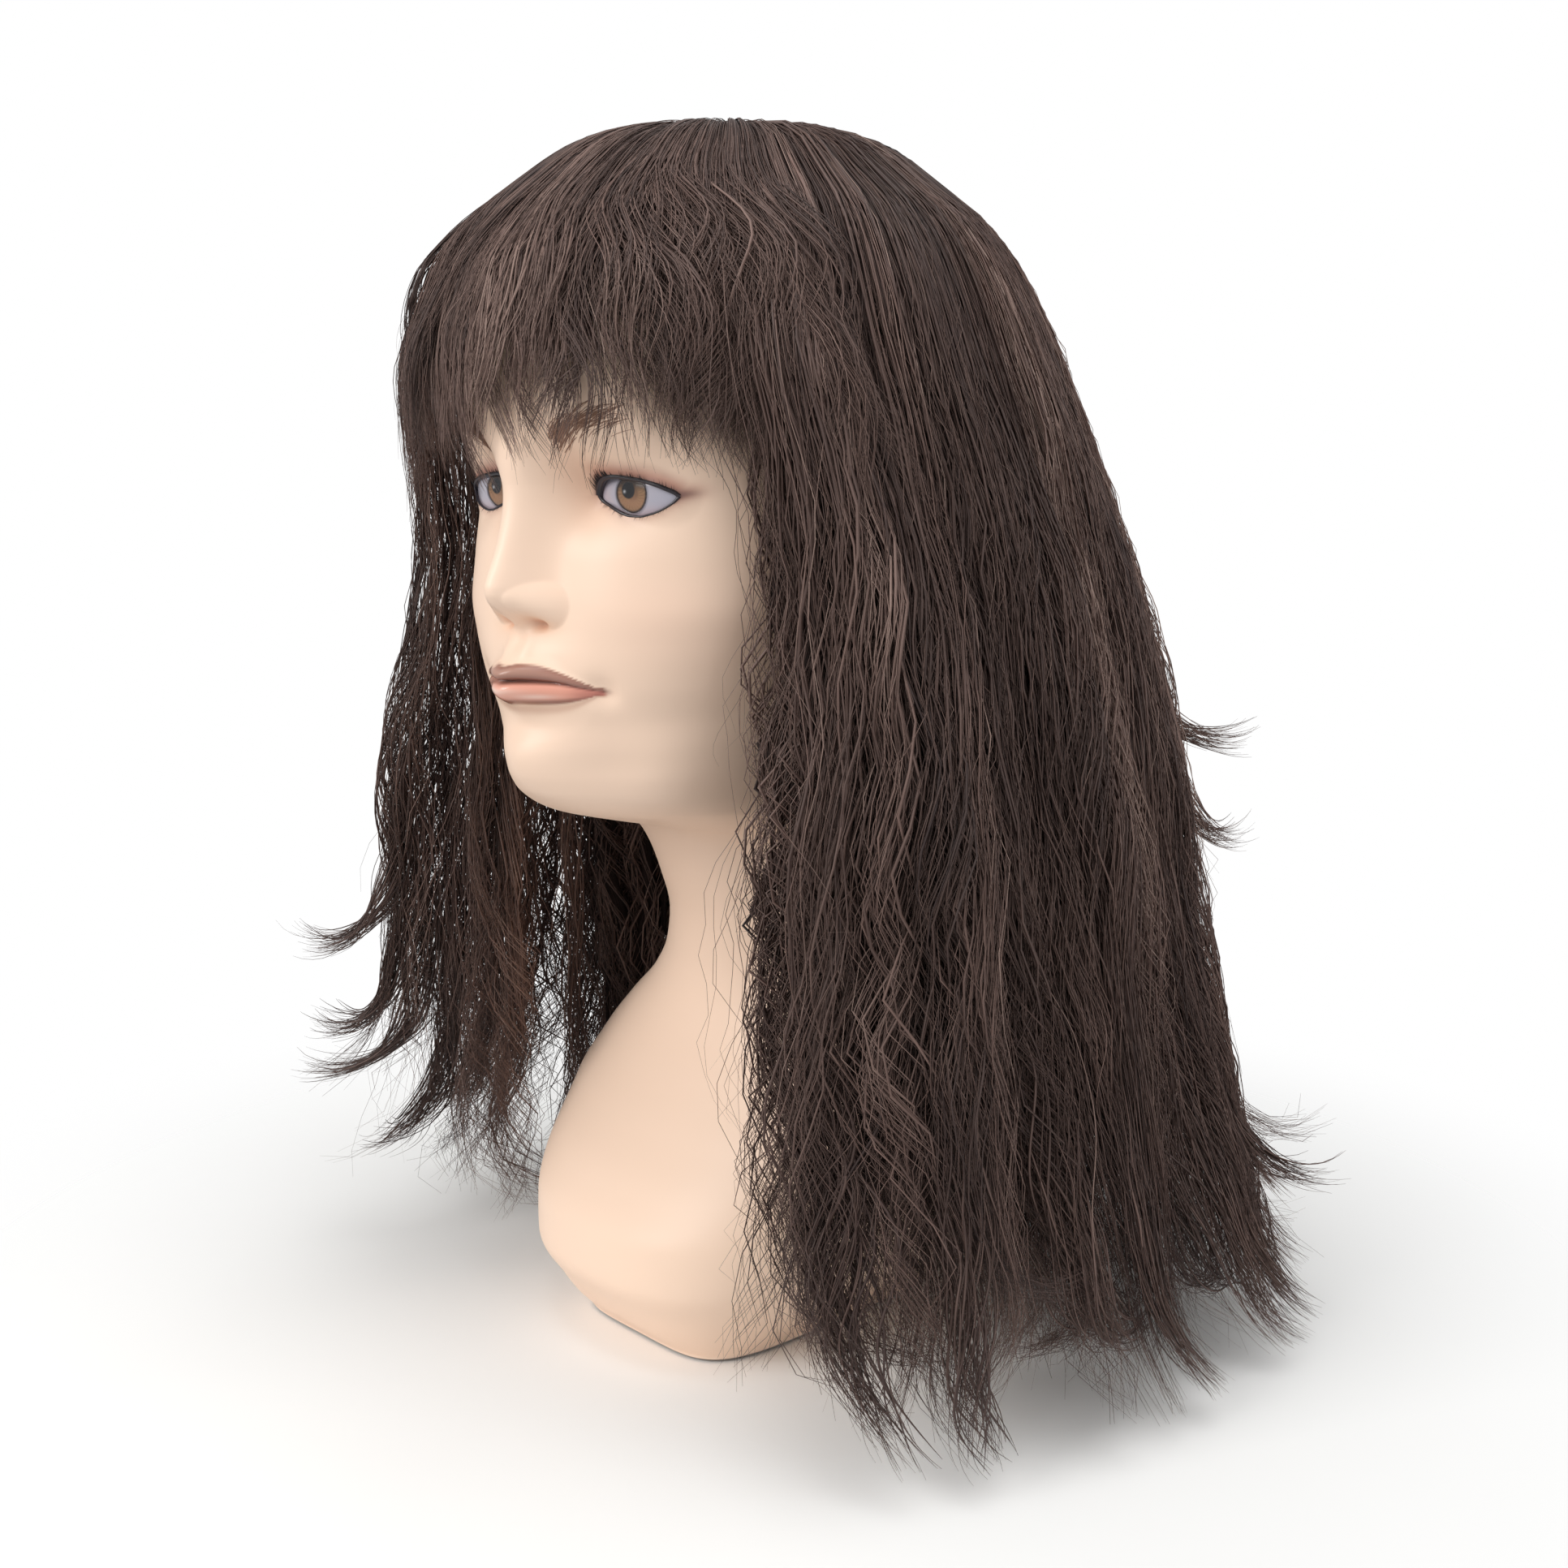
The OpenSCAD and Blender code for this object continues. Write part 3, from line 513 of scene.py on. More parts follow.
def lock_material():
    """Thick inner locks, darker than the strands as painted shade inside the hair, streaked
    lengthwise to look like many hairs with painted shade in the dark streaks between them.
    """
    shader = Shader("hair_lock", rgba(44, 36, 33), rough=.7, spec=.2)
    place = shader.node("CombineXYZ", inputs={0: shader.attr("around"),
                                              1: shader.attr("along")})
    place = shader.node("Mapping", inputs={"Scale": (34, 1.3, 1), "Vector": place})
    streaks = shader.node("TexNoise", "Fac", {"Scale": 1.0, "Detail": 4, "Vector": place})
    # painted shade: the inner locks are darker than the outer strands
    color = shader.ramp(shader.attr("tint"), (0, rgba(36, 27, 28)), (.5, rgba(58, 45, 43)),
                        (1, rgba(88, 71, 66)))
    # dark streaks are painted shade between the hairs
    hair_gap_shade = shader.ramp(streaks, (.38, grey(1)), (.56, grey(0)))
    shader.base(shader.mix(hair_gap_shade, color, rgba(30, 24, 23)))
    shader.bump(streaks, strength=.8, distance=.0012)
    return shader.material


def eye_white_material():
    shader = Shader("eye_white", rgba(176, 174, 186), rough=.12, coat=1.0, coat_rough=.03)
    clouds = shader.ramp(shader.noise(scale=90, detail=3), (.35, grey(0)), (.8, grey(.5)))
    shader.base(shader.mix(clouds, shader.attr("paint", "Color"), rgba(196, 188, 196)))
    return shader.material


def iris_material():
    shader = Shader("iris_print", rgba(150, 112, 74), rough=.2, coat=.8, coat_rough=.04)
    shader.base(shader.attr("paint", "Color"))
    return shader.material


def clear_material():
    tint = (.05, .05, .06, 1)
    shader = Shader("clear_acrylic", tint, rough=.02, spec=.9)
    shader.feed(shader.surface, {"Alpha": .14})
    shader.base(shader.ramp(shader.noise(scale=60, detail=2), (.3, tint),
                            (.8, (.03, .03, .04, 1))))
    return shader.material


# Name, two colours, noise scale, roughness, other settings
SPECKLED = (
    ("glass_tape", (214, 212, 196), (180, 178, 160), 900, .7, dict(bump=.4, distance=.0003)),
    ("base_board", (92, 84, 78), (70, 62, 56), 120, .6, dict(bump=.2, stretch=(1, 12, 1))),
    ("socket_plastic", (196, 198, 203), (184, 186, 192), 700, .38, dict(bump=.05)),
    ("zinc_screw", (190, 190, 186), (160, 160, 158), 1200, .3, dict(metal=.9)),
    ("block_wood", (205, 172, 124), (172, 136, 92), 90, .7,
     dict(bump=.3, distance=.0003, stretch=(1, 1, .1))),
    ("foot_rubber", (34, 34, 35), (24, 24, 25), 900, .8, dict(bump=.15)),
    ("eye_cup_plastic", (228, 224, 208), (214, 208, 190), 500, .5, {}),
    ("lash_fibre", (20, 17, 22), (34, 28, 32), 800, .5, {}),
    ("eye_liner", (26, 22, 32), (44, 34, 42), 500, .35, dict(coat=.3)),
    ("brow_paint", (134, 98, 80), (160, 122, 100), 600, .5, {}),
    ("stay_steel", (180, 182, 186), (150, 152, 156), 1500, .28, dict(metal=.95)),
    ("hook_plastic", (44, 44, 47), (34, 34, 37), 700, .42, dict(bump=.05)))
# Name, thread and gap colours, pitch in metres
WOVEN = (
    ("cap_net", (44, 40, 40), (12, 11, 12), .0011),
    ("hairline_tape", (186, 156, 130), (150, 120, 98), .0008),
    ("skin_top", (196, 164, 140), (172, 140, 118), .0009),
    ("elastic", (30, 30, 32), (14, 14, 15), .0010),
    ("weft", (52, 42, 36), (28, 22, 20), .0008))
# Pieces of the frame that keep their own mesh
FRAME_MATERIALS = {
    "seam_tape": "glass_tape", "base_plate": "base_board", "stand_socket": "socket_plastic",
    "socket_screws": "zinc_screw", "corner_blocks": "block_wood", "base_screws": "zinc_screw",
    "rubber_feet": "foot_rubber", "eye_cups": "eye_cup_plastic",
    "ear_tab_stays": "stay_steel", "left_adjuster_hook": "hook_plastic",
    "right_adjuster_hook": "hook_plastic"}

SKIN = skin_material()
MATERIALS = {name: speckled(name, *settings, **more) for name, *settings, more in SPECKLED}
MATERIALS.update({name: woven(name, *settings) for name, *settings in WOVEN})
HAIR_STRAND = hair_material()
HAIR_LOCK = lock_material()
EYE_WHITE = eye_white_material()
IRIS_PRINT = iris_material()
CLEAR = clear_material()
for piece_name, material_name in FRAME_MATERIALS.items():
    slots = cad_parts[piece_name].data.materials
    slots.clear()
    slots.append(MATERIALS[material_name])


# ---------------------------------------------------------------- eye outline
# x and z along the lids of the left eye: upper from the inner corner out, lower back in
LID_UPPER = np.array([
    (19.3, 297.6), (19.7, 299.6), (21.0, 301.6), (23.4, 303.0), (26.6, 303.5), (30.5, 303.2),
    (36.3, 302.5), (41.7, 301.2), (44.6, 300.0), (46.6, 299.0), (47.7, 297.9)])
LID_LOWER = np.array([
    (47.7, 297.9), (46.5, 296.3), (44.3, 294.6), (41.9, 293.3), (38.6, 292.2), (35.6, 291.6),
    (32.4, 291.7), (29.6, 292.4), (26.6, 293.5), (23.4, 294.8), (20.6, 296.0), (19.3, 297.6)])


def resample(line, count):
    """Evenly spaced points on a smooth curve through an open line."""
    run = concatenate([[0], np.cumsum(hypot(*np.diff(line, axis=0).T))])
    at = linspace(0, run[-1], count)
    return stack([Curve(run, line[:, 0])(at), Curve(run, line[:, 1])(at)], -1)


UPPER, LOWER = resample(LID_UPPER, 60), resample(LID_LOWER, 60)
EYE_OUTLINE = concatenate([UPPER[:-1], LOWER[:-1]])


def inside(outline, x, z):
    hit = np.zeros(x.shape, bool)
    with np.errstate(divide="ignore", invalid="ignore"):
        for (x0, z0), (x1, z1) in zip(outline, np.roll(outline, -1, 0)):
            crossing = x0 + (z - z0) * (x1 - x0) / (z1 - z0)
            hit ^= ((z0 > z) != (z1 > z)) & (x < crossing)
    return hit


def nearest(outline, x, z):
    """Distance to a closed outline and the nearest point on it."""
    best = np.full(x.shape, 1e9)
    best_x, best_z = np.zeros(x.shape), np.zeros(x.shape)
    for (x0, z0), (x1, z1) in zip(outline, np.roll(outline, -1, 0)):
        dx, dz = x1 - x0, z1 - z0
        share = clip(((x - x0) * dx + (z - z0) * dz) / max(dx ** 2 + dz ** 2, 1e-9), 0, 1)
        on_x, on_z = x0 + share * dx, z0 + share * dz
        gap = hypot(x - on_x, z - on_z)
        closer = gap < best
        best[closer] = gap[closer]
        best_x[closer] = on_x[closer]
        best_z[closer] = on_z[closer]
    return best, best_x, best_z


# ---------------------------------------------------------------- painted colours
SKIN_TONE = rgb(252, 222, 199)
INNER_WALL = rgb(214, 184, 158)
LIP_UPPER_TONE, LIP_LOWER_TONE = rgb(158, 112, 100), rgb(232, 162, 142)
LIP_DARK, LIP_EDGE = rgb(120, 66, 58), rgb(136, 82, 66)
SHADOW, SHADOW_DARK = rgb(176, 120, 104), rgb(112, 74, 74)
# Painted blush on the cheeks, and painted shade in the inner eye sockets, under the nose and in
# the nostrils: colour, strength, distance from the middle, width, height, spread in height
BLUSH_AND_SHADE = (
    # blush on the cheeks
    (rgb(246, 206, 184), .35, 44, 17, 262, 16),
    # painted shade in the inner eye sockets
    (rgb(222, 176, 148), .62, 17.5, 5.5, 301, 12),
    # painted shade under the nose
    (rgb(236, 196, 166), .45, 8, 7, 257, 3.2),
    # painted shade in the nostrils
    (rgb(206, 142, 118), .35, 6.8, 2.6, 258.9, 1.6))
# Small pale rubs at the inner end of the left brow: x, height, width, spread in height
RUBS = ((28.5, 323.2, .9, .5), (30.4, 321.6, .6, 1.3), (32.2, 323.6, 1.3, .4),
        (34.0, 322.4, .5, 1.0))


def tinted(color, to, weight):
    return color + (to - color) * clip(weight, 0, 1)[..., None]


def paint_skin(x, z, angle):
    """Colour and gloss of the skin, placed in the head frame."""
    side = np.abs(x)
    head = ease((z - 190) / 10) * (np.abs(angle) < 84)
    color = SKIN_TONE
    # blush, and painted shade by the eyes and nose
    for patch_tone, strength, place, width, height, spread in BLUSH_AND_SHADE:
        weight = strength * bell(side - place, width) * bell(z - height, spread) * head
        color = tinted(color, patch_tone, weight)
    # painted shadow of the hair on the left cheek and temple
    color = tinted(color, rgb(222, 186, 158), .55 * ease((angle - 38) / 26)
                   * (1 - ease((angle - 62) / 20)) * head * ease((336 - z) / 30))
    # lips, with painted highlights, and painted shade at the seam, the corners and under the
    # lower lip
    place = lip_place(x, z)
    lip = ease((27.4 - side) / 1.6) * head
    # painted highlight where the upper lip is fullest
    upper = tinted(LIP_UPPER_TONE, rgb(190, 150, 134),
                   .5 * bell(place - .62, .25) * bell(side - 5, 10))
    # painted shade along the seam between the lips
    upper = tinted(upper, LIP_DARK, .85 * ease((.34 - place) / .3))
    upper = tinted(upper, LIP_EDGE, .7 * bell(place - 1, .16))
    # lower lip tone, with painted shade along the seam
    lower = tinted(LIP_LOWER_TONE, LIP_DARK, .95 * ease((place + .16) / .15))
    lower = tinted(lower, LIP_EDGE, .95 * ease((-.68 - place) / .2))
    # painted shade: the lower lip darkens towards the corners of the mouth
    lower = tinted(lower, rgb(190, 110, 100), .75 * ease((side - 16) / 9))
    # painted highlights on the lower lip
    lower = tinted(lower, rgb(255, 236, 224), .75 * bell(place + .4, .13) * bell(x + 5, 9)
                   + .5 * bell(place + .62, .1) * bell(x - 10, 5))
    on_upper = ease((1.06 - place) / .14) * (place > 0) * lip
    on_upper = on_upper * (1 - ease((-x - 2) / 3) * ease((place - .6) / .2))
    on_upper = on_upper * (1 - ease((-x - 17) / 3))
    on_lower = ease((place + 1.05) / .12) * (place <= 0) * lip
    color = tinted(tinted(color, upper, on_upper), lower, on_lower)
    # painted shade in the hollow under the lower lip
    color = tinted(color, rgb(214, 168, 144), .55 * bell(place + 1.22, .2) * lip)
    # painted shade in the left corner of the mouth
    color = tinted(color, LIP_DARK, .5 * bell(x - 26.6, 1.8) * bell(z - 238, 1.0) * head)
    # eye shadow: a band over the upper lid, running out past the outer corner
    gap, _, lid_z = nearest(EYE_OUTLINE, where(side < 60, side, 99.0), z)
    above = where(z > lid_z, 1.0, .0)
    band = ease((6.4 - gap) / 5.6) * above * ease((side - 17) / 4) * ease((58 - side) / 12)
    tail = bell(z - (298.6 + (side - 47) * .16), 2.6)
    tail = tail * ease((side - 41) / 7) * ease((58 - side) / 12)
    color = tinted(color, SHADOW, .95 * maximum(band, tail) * head)
    color = tinted(color, SHADOW_DARK, .7 * bell(gap, 1.2) * maximum(above, tail) * head)
    color = tinted(color, SHADOW, .4 * bell(gap, 2.2) * (1 - above) * head)
    color = tinted(color, SHADOW_DARK, .75 * bell(side - 48.6, 3.0)
                   * bell(z - (298.4 + (side - 48) * .1), 1.2) * head)
    for rub_x, rub_z, width, spread in RUBS:
        color = tinted(color, rgb(255, 246, 232),
                       .6 * bell(x - rub_x, width) * bell(z - rub_z, spread))
    return color, clip(on_upper * .7 + on_lower, 0, 1)


# ---------------------------------------------------------------- bust shells
def spaced(at, steps):
    """Values of at about one unit apart, where steps measures its intervals."""
    run = concatenate([[0], np.cumsum(steps)])
    return np.interp(linspace(0, run[-1], int(np.ceil(run[-1])) + 1), run, at)


def shell_heights(stations, spacings):
    """Heights spaced by distance along the bust's profile."""
    z = linspace(1.2, HEAD_TOP, 40001)
    slope = np.max([np.abs(np.gradient(side(z), z))
                    for side in (BUST_FRONT, BUST_HALF, BUST_BACK)], axis=0)
    spacing = np.interp(z[1:], stations, spacings)
    return spaced(z, sqrt(1 + slope[1:] ** 2) / spacing * np.diff(z))


def every_fifth(values):
    """Every fifth value, and always the last."""
    return values[::5] if (len(values) - 1) % 5 == 0 else np.append(values[::5], values[-1])


def cell_mean(grid):
    return (grid[:-1, :-1] + grid[1:, 1:] + grid[:-1, 1:] + grid[1:, :-1]) / 4


def bridge(fine, coarse):
    """Triangles between a fine and a coarse edge, given as point indices."""
    last = len(fine) - 1
    match = (np.arange(len(fine)) * (len(coarse) - 1) + last // 2) // last
    faces = []
    for i in range(last):
        faces.append((fine[i], fine[i + 1], coarse[match[i]]))
        if match[i + 1] != match[i]:
            faces.append((fine[i + 1], coarse[match[i + 1]], coarse[match[i]]))
    return np.array(faces)


def shell(name, angles, heights, replaces, front):
    """Outer skin, coarser inner wall and rims of one half of the bust."""
    first, last = angles[0], angles[-1]
    angle, z = np.meshgrid(angles, heights)
    edge = minimum(np.abs(angle - first), np.abs(angle - last))
    x, y = skin_xy(z, angle, -.35 * bell(edge, .35))
    keep = np.ones((len(heights) - 1, len(angles) - 1), bool)
    if front:
        # points near the eye outline snap to it and the cells within are left out
        for side in (1, -1):
            gap, lid_x, lid_z = nearest(EYE_OUTLINE, x * side, z)
            snap = (gap < .42) & (np.abs(angle) < 60)
            x = where(snap, lid_x * side, x)
            z = where(snap, lid_z, z)
            y = where(snap, front_y(x, z), y)
            keep &= ~inside(EYE_OUTLINE, cell_mean(x) * side, cell_mean(z))
    color, gloss = paint_skin(x, z, angle if front else angle * 0 + 180)
    outer = stack([*rotate(x, y, neck_turn(z)), z], -1)

    in_angles, in_heights = every_fifth(angles), every_fifth(heights)
    in_angle, in_z = np.meshgrid(in_angles, in_heights)
    x, y = scalp(in_z, in_angle, -4.9 if front else -3.4)
    solid = np.ones((len(in_heights) - 1, len(in_angles) - 1), bool)
    if front:
        face = (np.abs(x) < .93 * BUST_HALF(in_z)) & (np.abs(in_angle) < 70)
        y = where(face, maximum(y, front_y(x, in_z) + 3.6), y)
        cell_x = (x[:-1, :-1] + x[1:, 1:]) / 2
        cell_z = (in_z[:-1, :-1] + in_z[1:, 1:]) / 2
        solid = hypot(np.abs(cell_x) - EYE_X, cell_z - EYE_Z) > 18.2
    drop = (3.4 * ease((in_z - 350) / 45)
            - 3.0 * bell(in_z - 192, 9) * ease((90 - np.abs(in_angle)) / 30))
    inner = stack([*rotate(x, y, neck_turn(in_z)), maximum(in_z - drop, 1.2)], -1)

    rows, cols = outer.shape[:2]
    in_rows, in_cols = inner.shape[:2]
    base = rows * cols
    outer_faces = grid_faces(rows, cols).reshape(rows - 1, cols - 1, 4)[keep]
    inner_faces = grid_faces(in_rows, in_cols, base=base)
    inner_faces = inner_faces.reshape(in_rows - 1, in_cols - 1, 4)[solid][:, ::-1]
    edge, in_edge = np.arange(rows) * cols, base + np.arange(in_rows) * in_cols
    rims = concatenate([bridge(edge, in_edge)[:, ::-1],
                        bridge(edge + cols - 1, in_edge + in_cols - 1),
                        bridge(np.arange(cols), base + np.arange(in_cols))])
    # the crown is closed to its middle, outside and inside
    top = base + in_rows * in_cols
    crown = np.arange(cols - 1) + (rows - 1) * cols
    in_crown = base + np.arange(in_cols - 1) + (in_rows - 1) * in_cols
    caps = concatenate([
        stack([crown, crown + 1, crown * 0 + top], -1),
        stack([in_crown + 1, in_crown, in_crown * 0 + top + 1], -1)])
    tops = [(grid[-1, 0] + grid[-1, -1]) / 2 for grid in (outer, inner)]
    points = concatenate([outer.reshape(-1, 3), inner.reshape(-1, 3), tops])

    paint = concatenate([color.reshape(-1, 3), np.broadcast_to(INNER_WALL, (top - base, 3)),
                         [SKIN_TONE, SKIN_TONE]])
    gloss = concatenate([gloss.ravel(), np.zeros(top - base + 2)])
    if front:
        u = .02 + .7 * np.interp(angle, [first, -50, 50, last], [0, .12, .88, 1])
    else:
        u = np.interp(angle, [first, last], [.02, .72])
    v = np.interp(z, [0, 190, 320, 400], [.01, .22, .9, .99])
    in_u = np.interp(in_angle, [first, last], [.75, .98])
    in_v = np.interp(in_z, [0, 400], [.02, .98])
    uv = concatenate([stack([u, v], -1).reshape(-1, 2), stack([in_u, in_v], -1).reshape(-1, 2),
                      [[.36, .995], [.86, .995]]])
    make(name, points, [outer_faces, inner_faces, rims, caps], SKIN, "bust", replaces,
         "moulded_skin", uv=uv, attrs={"gloss": gloss}, paint=paint)


def neck_turn(z):
    """The turn of the head fades out down the neck."""
    return HEAD_TURN * ease((z - 120) / 65)


round_front = linspace(-90, 90, 8001)
round_rear = linspace(90, 270, 8001)
# point spacing in degrees, finest at the middle of the face
front_angles = spaced(round_front, np.diff(round_front) / np.interp(
    np.abs(round_front[1:]), [0, 12, 30, 42, 60, 90], [.28, .32, .42, .6, 1.3, 1.6]))
# and at the ears, by distance from the side seams
rear_angles = spaced(round_rear, np.diff(round_rear) / np.interp(
    minimum(round_rear - 90, 270 - round_rear)[1:], [0, 4, 24, 34, 90],
    [.5, .45, .6, 2.2, 2.6]))
shell("front_shell_skin", front_angles,
      shell_heights([0, 180, 196, 222, 228, 318, 326, 345, 400],
                    [2.2, 2.2, 1.1, .8, .55, .55, 1.0, 2.0, 2.0]), ["front_shell"], True)
shell("rear_shell_skin", rear_angles,
      shell_heights([0, 255, 262, 320, 326, 400], [2.6, 2.4, .8, .8, 2.2, 2.4]),
      ["rear_shell"], False)


# ---------------------------------------------------------------- lids, lashes, eyes, brows
def make_liner(side, name):
    """Dark line along both lids."""
    share = linspace(0, 1, len(UPPER))
    upper = .62 + .75 * bell(share - .1, .14) + .12 * bell(share - .9, .15)
    lower = (.34 + .22 * bell(share - .75, .2) + .25 * ease((share - .85) / .15)
             + .2 * ease((.12 - share) / .12))
    parts = []
    for line, radii in ((UPPER, upper), (LOWER, lower)):
        x, z = line[:, 0] * side, line[:, 1]
        path = turned(stack([x, front_y(x, z) + .15, z], -1))
        parts.append(tubes(path[None], radii, 8, np.array([0, 1.0, 0]), 1.1))
    make(name + "_eye_liner", *join(parts), MATERIALS["eye_liner"],
         uv=join_uv(parts, (([.5, 1], [0, 0]), ([.5, 1], [.5, 0]))))


def make_lid_rim(side, name):
    """Wall from the edge of the lids back to the eye, dark as painted shade in the gap round
    the eye.
    """
    x, z = EYE_OUTLINE[:, 0] * side, EYE_OUTLINE[:, 1]
    y = front_y(x, z)
    rows = []
    # distance back, share of the way to the middle of the opening
    for back, inward in ((-.05, 0), (.9, .03), (2.4, .05), (6.0, .02), (9, -.02)):
        depth = minimum(y + back, -76.0) if back > 5 else y + back
        rows.append(stack([lerp(x, 33.5 * side, inward), depth, lerp(z, 297.6, inward)], -1))
    # painted shade: the rim wall is dark
    rim = speckled(name + "_rim", (58, 42, 48), (96, 70, 72), scale=300, rough=.4)
    make(name + "_lid_rim", turned(np.array(rows)), grid_faces(len(rows), len(x), True), rim)


def make_lashes(side, name):
    """Upper and lower lashes, and the strip the upper ones stand on."""
    count, low_count = 54, 26
    along = linspace(0, 1, 9)
    share = np.sort(concatenate([face_rng.uniform(0, .3, 30),
                                 face_rng.uniform(.3, 1, count - 30)]))
    at = share * (len(UPPER) - 1)
    index = minimum(at.astype(int), len(UPPER) - 2)
    root = UPPER[index] + (UPPER[index + 1] - UPPER[index]) * (at - index)[:, None]
    length = 2.6 + 2.6 * bell(share - .08, .16) + .5 * bell(share - .8, .3)
    length = (length * face_rng.uniform(.6, 1.15, count))[:, None]
    fan = ((share - .45) + face_rng.normal(0, .14, count))[:, None]
    root_x, root_z = root[:, 0] * side, root[:, 1]
    x = root_x[:, None] + side * sin(fan) * length * along * .75
    z = root_z[:, None] + .25 + length * (.12 * along + .62 * along ** 2)
    y = front_y(root_x, root_z)[:, None] - length * (.72 * along - .12 * along ** 2) - .1
    taper = 1 - along ** 1.5
    radii = .17 * taper * face_rng.uniform(.7, 1.1, count)[:, None] + .012
    across = np.array([1.0, .1, 0])
    parts = [tubes(turned(stack([x, y, z], -1)), radii, 4, across)]

    share = face_rng.uniform(.05, .98, low_count)
    root = LOWER[(share * (len(LOWER) - 1)).astype(int)]
    length = face_rng.uniform(.8, 1.7, low_count)[:, None]
    root_x, root_z = root[:, 0] * side, root[:, 1]
    x = root_x[:, None] + side * (.5 - share)[:, None] * length * along * .9
    z = root_z[:, None] - length * (.6 * along + .25 * along ** 2)
    y = front_y(root_x, root_z)[:, None] - length * .7 * along
    parts.append(tubes(turned(stack([x, y, z], -1)), .09 * taper + .012, 4, across))

    x, z = UPPER[:, 0] * side, UPPER[:, 1]
    strip = stack([x, front_y(x, z) - .25, z + .35], -1)[2:-3]
    parts.append(tubes(turned(strip)[None], np.full(len(strip), .38), 6,
                       np.array([0, 1.0, 0])))
    make(name + "_lash_fibres", *join(parts), MATERIALS["lash_fibre"], "bust",
         [name + "_lashes"], "lash_fibre",
         uv=join_uv(parts, ((.5, 0), (.4, [.5, 0]), (.4, [.5, .5]))))


IRIS_R, BALL_R = 5.9, 21.0
IRIS_SEAT = sqrt(BALL_R ** 2 - (IRIS_R + .05) ** 2)
ROUND = linspace(0, 2 * pi, 97)[:-1]


def revolve(side, radius, forward):
    """Points round the line of sight from a profile of radius and forward distance."""
    yaw = 0.0 if side > 0 else radians(9)
    radius, forward = radius[:, None], forward[:, None]
    x = EYE_X * side + radius * cos(ROUND) * cos(yaw) + forward * sin(yaw)
    z = EYE_Z + radius * sin(ROUND)
    y = EYE_Y - forward * cos(yaw) + radius * cos(ROUND) * sin(yaw)
    # the inner half comes forward to meet the inner corner of the lids
    return stack([x, y - .045 * clip(33.5 - np.abs(x), 0, 15) ** 1.75, z], -1)


def make_eye_part(name, points, material, replaced, slot, paint=None):
    make(name, turned(points), grid_faces(len(points), len(ROUND), True), material, "bust",
         [replaced], slot, paint=paint)


def make_eye(side, name):
    """White dome, printed iris and clear cap."""
    radius = concatenate([[IRIS_R + .05], linspace(IRIS_R + .3, 18.4, 42)])
    forward = concatenate([[IRIS_SEAT - 1.4], sqrt(BALL_R ** 2 - radius ** 2),
                           np.full(12, 9.2)])
    radius = concatenate([[5.2], radius, linspace(18.2, .3, 12)])
    points = revolve(side, radius, forward)
    z = points[..., 2]
    color = tinted(rgb(178, 176, 190), rgb(202, 168, 172),
                   .55 * bell(z - 292, 2.6) + .4 * bell(np.abs(points[..., 0]) - 20, 3))
    # painted shade of the upper lid: the white darkens towards the top; also a dark ring round
    # the iris
    color = tinted(color, rgb(96, 94, 110),
                   .5 * ease((z - 299.5) / 4) + .4 * (radius[:, None] < IRIS_R + .7))
    make_eye_part(name + "_eye_dome", points, EYE_WHITE, name + "_eye", "eye_white", color)

    # the iris is a shallow dish with radial fibres and a dark border; its lower part is lighter
    # as painted light, its upper half dark as painted shade of the upper lid, and a painted
    # highlight sits beside the pupil
    radius = linspace(0, IRIS_R, 44)
    points = revolve(side, radius, IRIS_SEAT + .02 + .25 * (1 - (radius / IRIS_R) ** 2))
    radius, z = radius[:, None], points[..., 2]
    fibres = (.5 + .3 * sin(ROUND * 37 + 2.2 * sin(ROUND * 5) + radius * 1.2)
              + .25 * sin(ROUND * 71 + radius * 2.0))
    color = tinted(rgb(150, 110, 76), rgb(214, 170, 122),
                   fibres * .75 * ease((radius - 1.8) / 1.2))
    # painted light on the lower part of the iris
    color = tinted(color, rgb(214, 160, 122), .6 * bell(z - (EYE_Z - 3.2), 2.4))
    color = tinted(color, rgb(40, 28, 34), .95 * ease((radius - IRIS_R + .95) / .7))
    # painted shade of the upper lid over the upper half
    color = tinted(color, rgb(44, 34, 38), .86 * ease((z - (EYE_Z + .4)) / 2.6))
    across, up = radius * cos(ROUND), radius * sin(ROUND)
    pupil = ease((2.75 - hypot(across + 1.5, up - .9)) / .5)
    color = tinted(color, np.array([.004, .004, .006]), pupil)
    # painted highlight: a catchlight beside the pupil
    color = tinted(color, np.array([.85, .86, .9]), bell(hypot(across + 3.0, up - .5), .42))
    make_eye_part(name + "_iris_disc", points, IRIS_PRINT, name + "_iris", "iris_print", color)

    outer, inner = linspace(.02, IRIS_R + .35, 20), linspace(IRIS_R + .3, .02, 16)
    domed = (sqrt(BALL_R ** 2 - outer ** 2) + .12
             + .45 * (1 - (outer / (IRIS_R + .35)) ** 2))
    seat = IRIS_SEAT + .05 + .27 * (1 - (inner / (IRIS_R + .3)) ** 2)
    points = revolve(side, concatenate([outer, inner]), concatenate([domed, seat]))
    make_eye_part(name + "_eye_lens", points, CLEAR, name + "_cornea", "clear_acrylic")


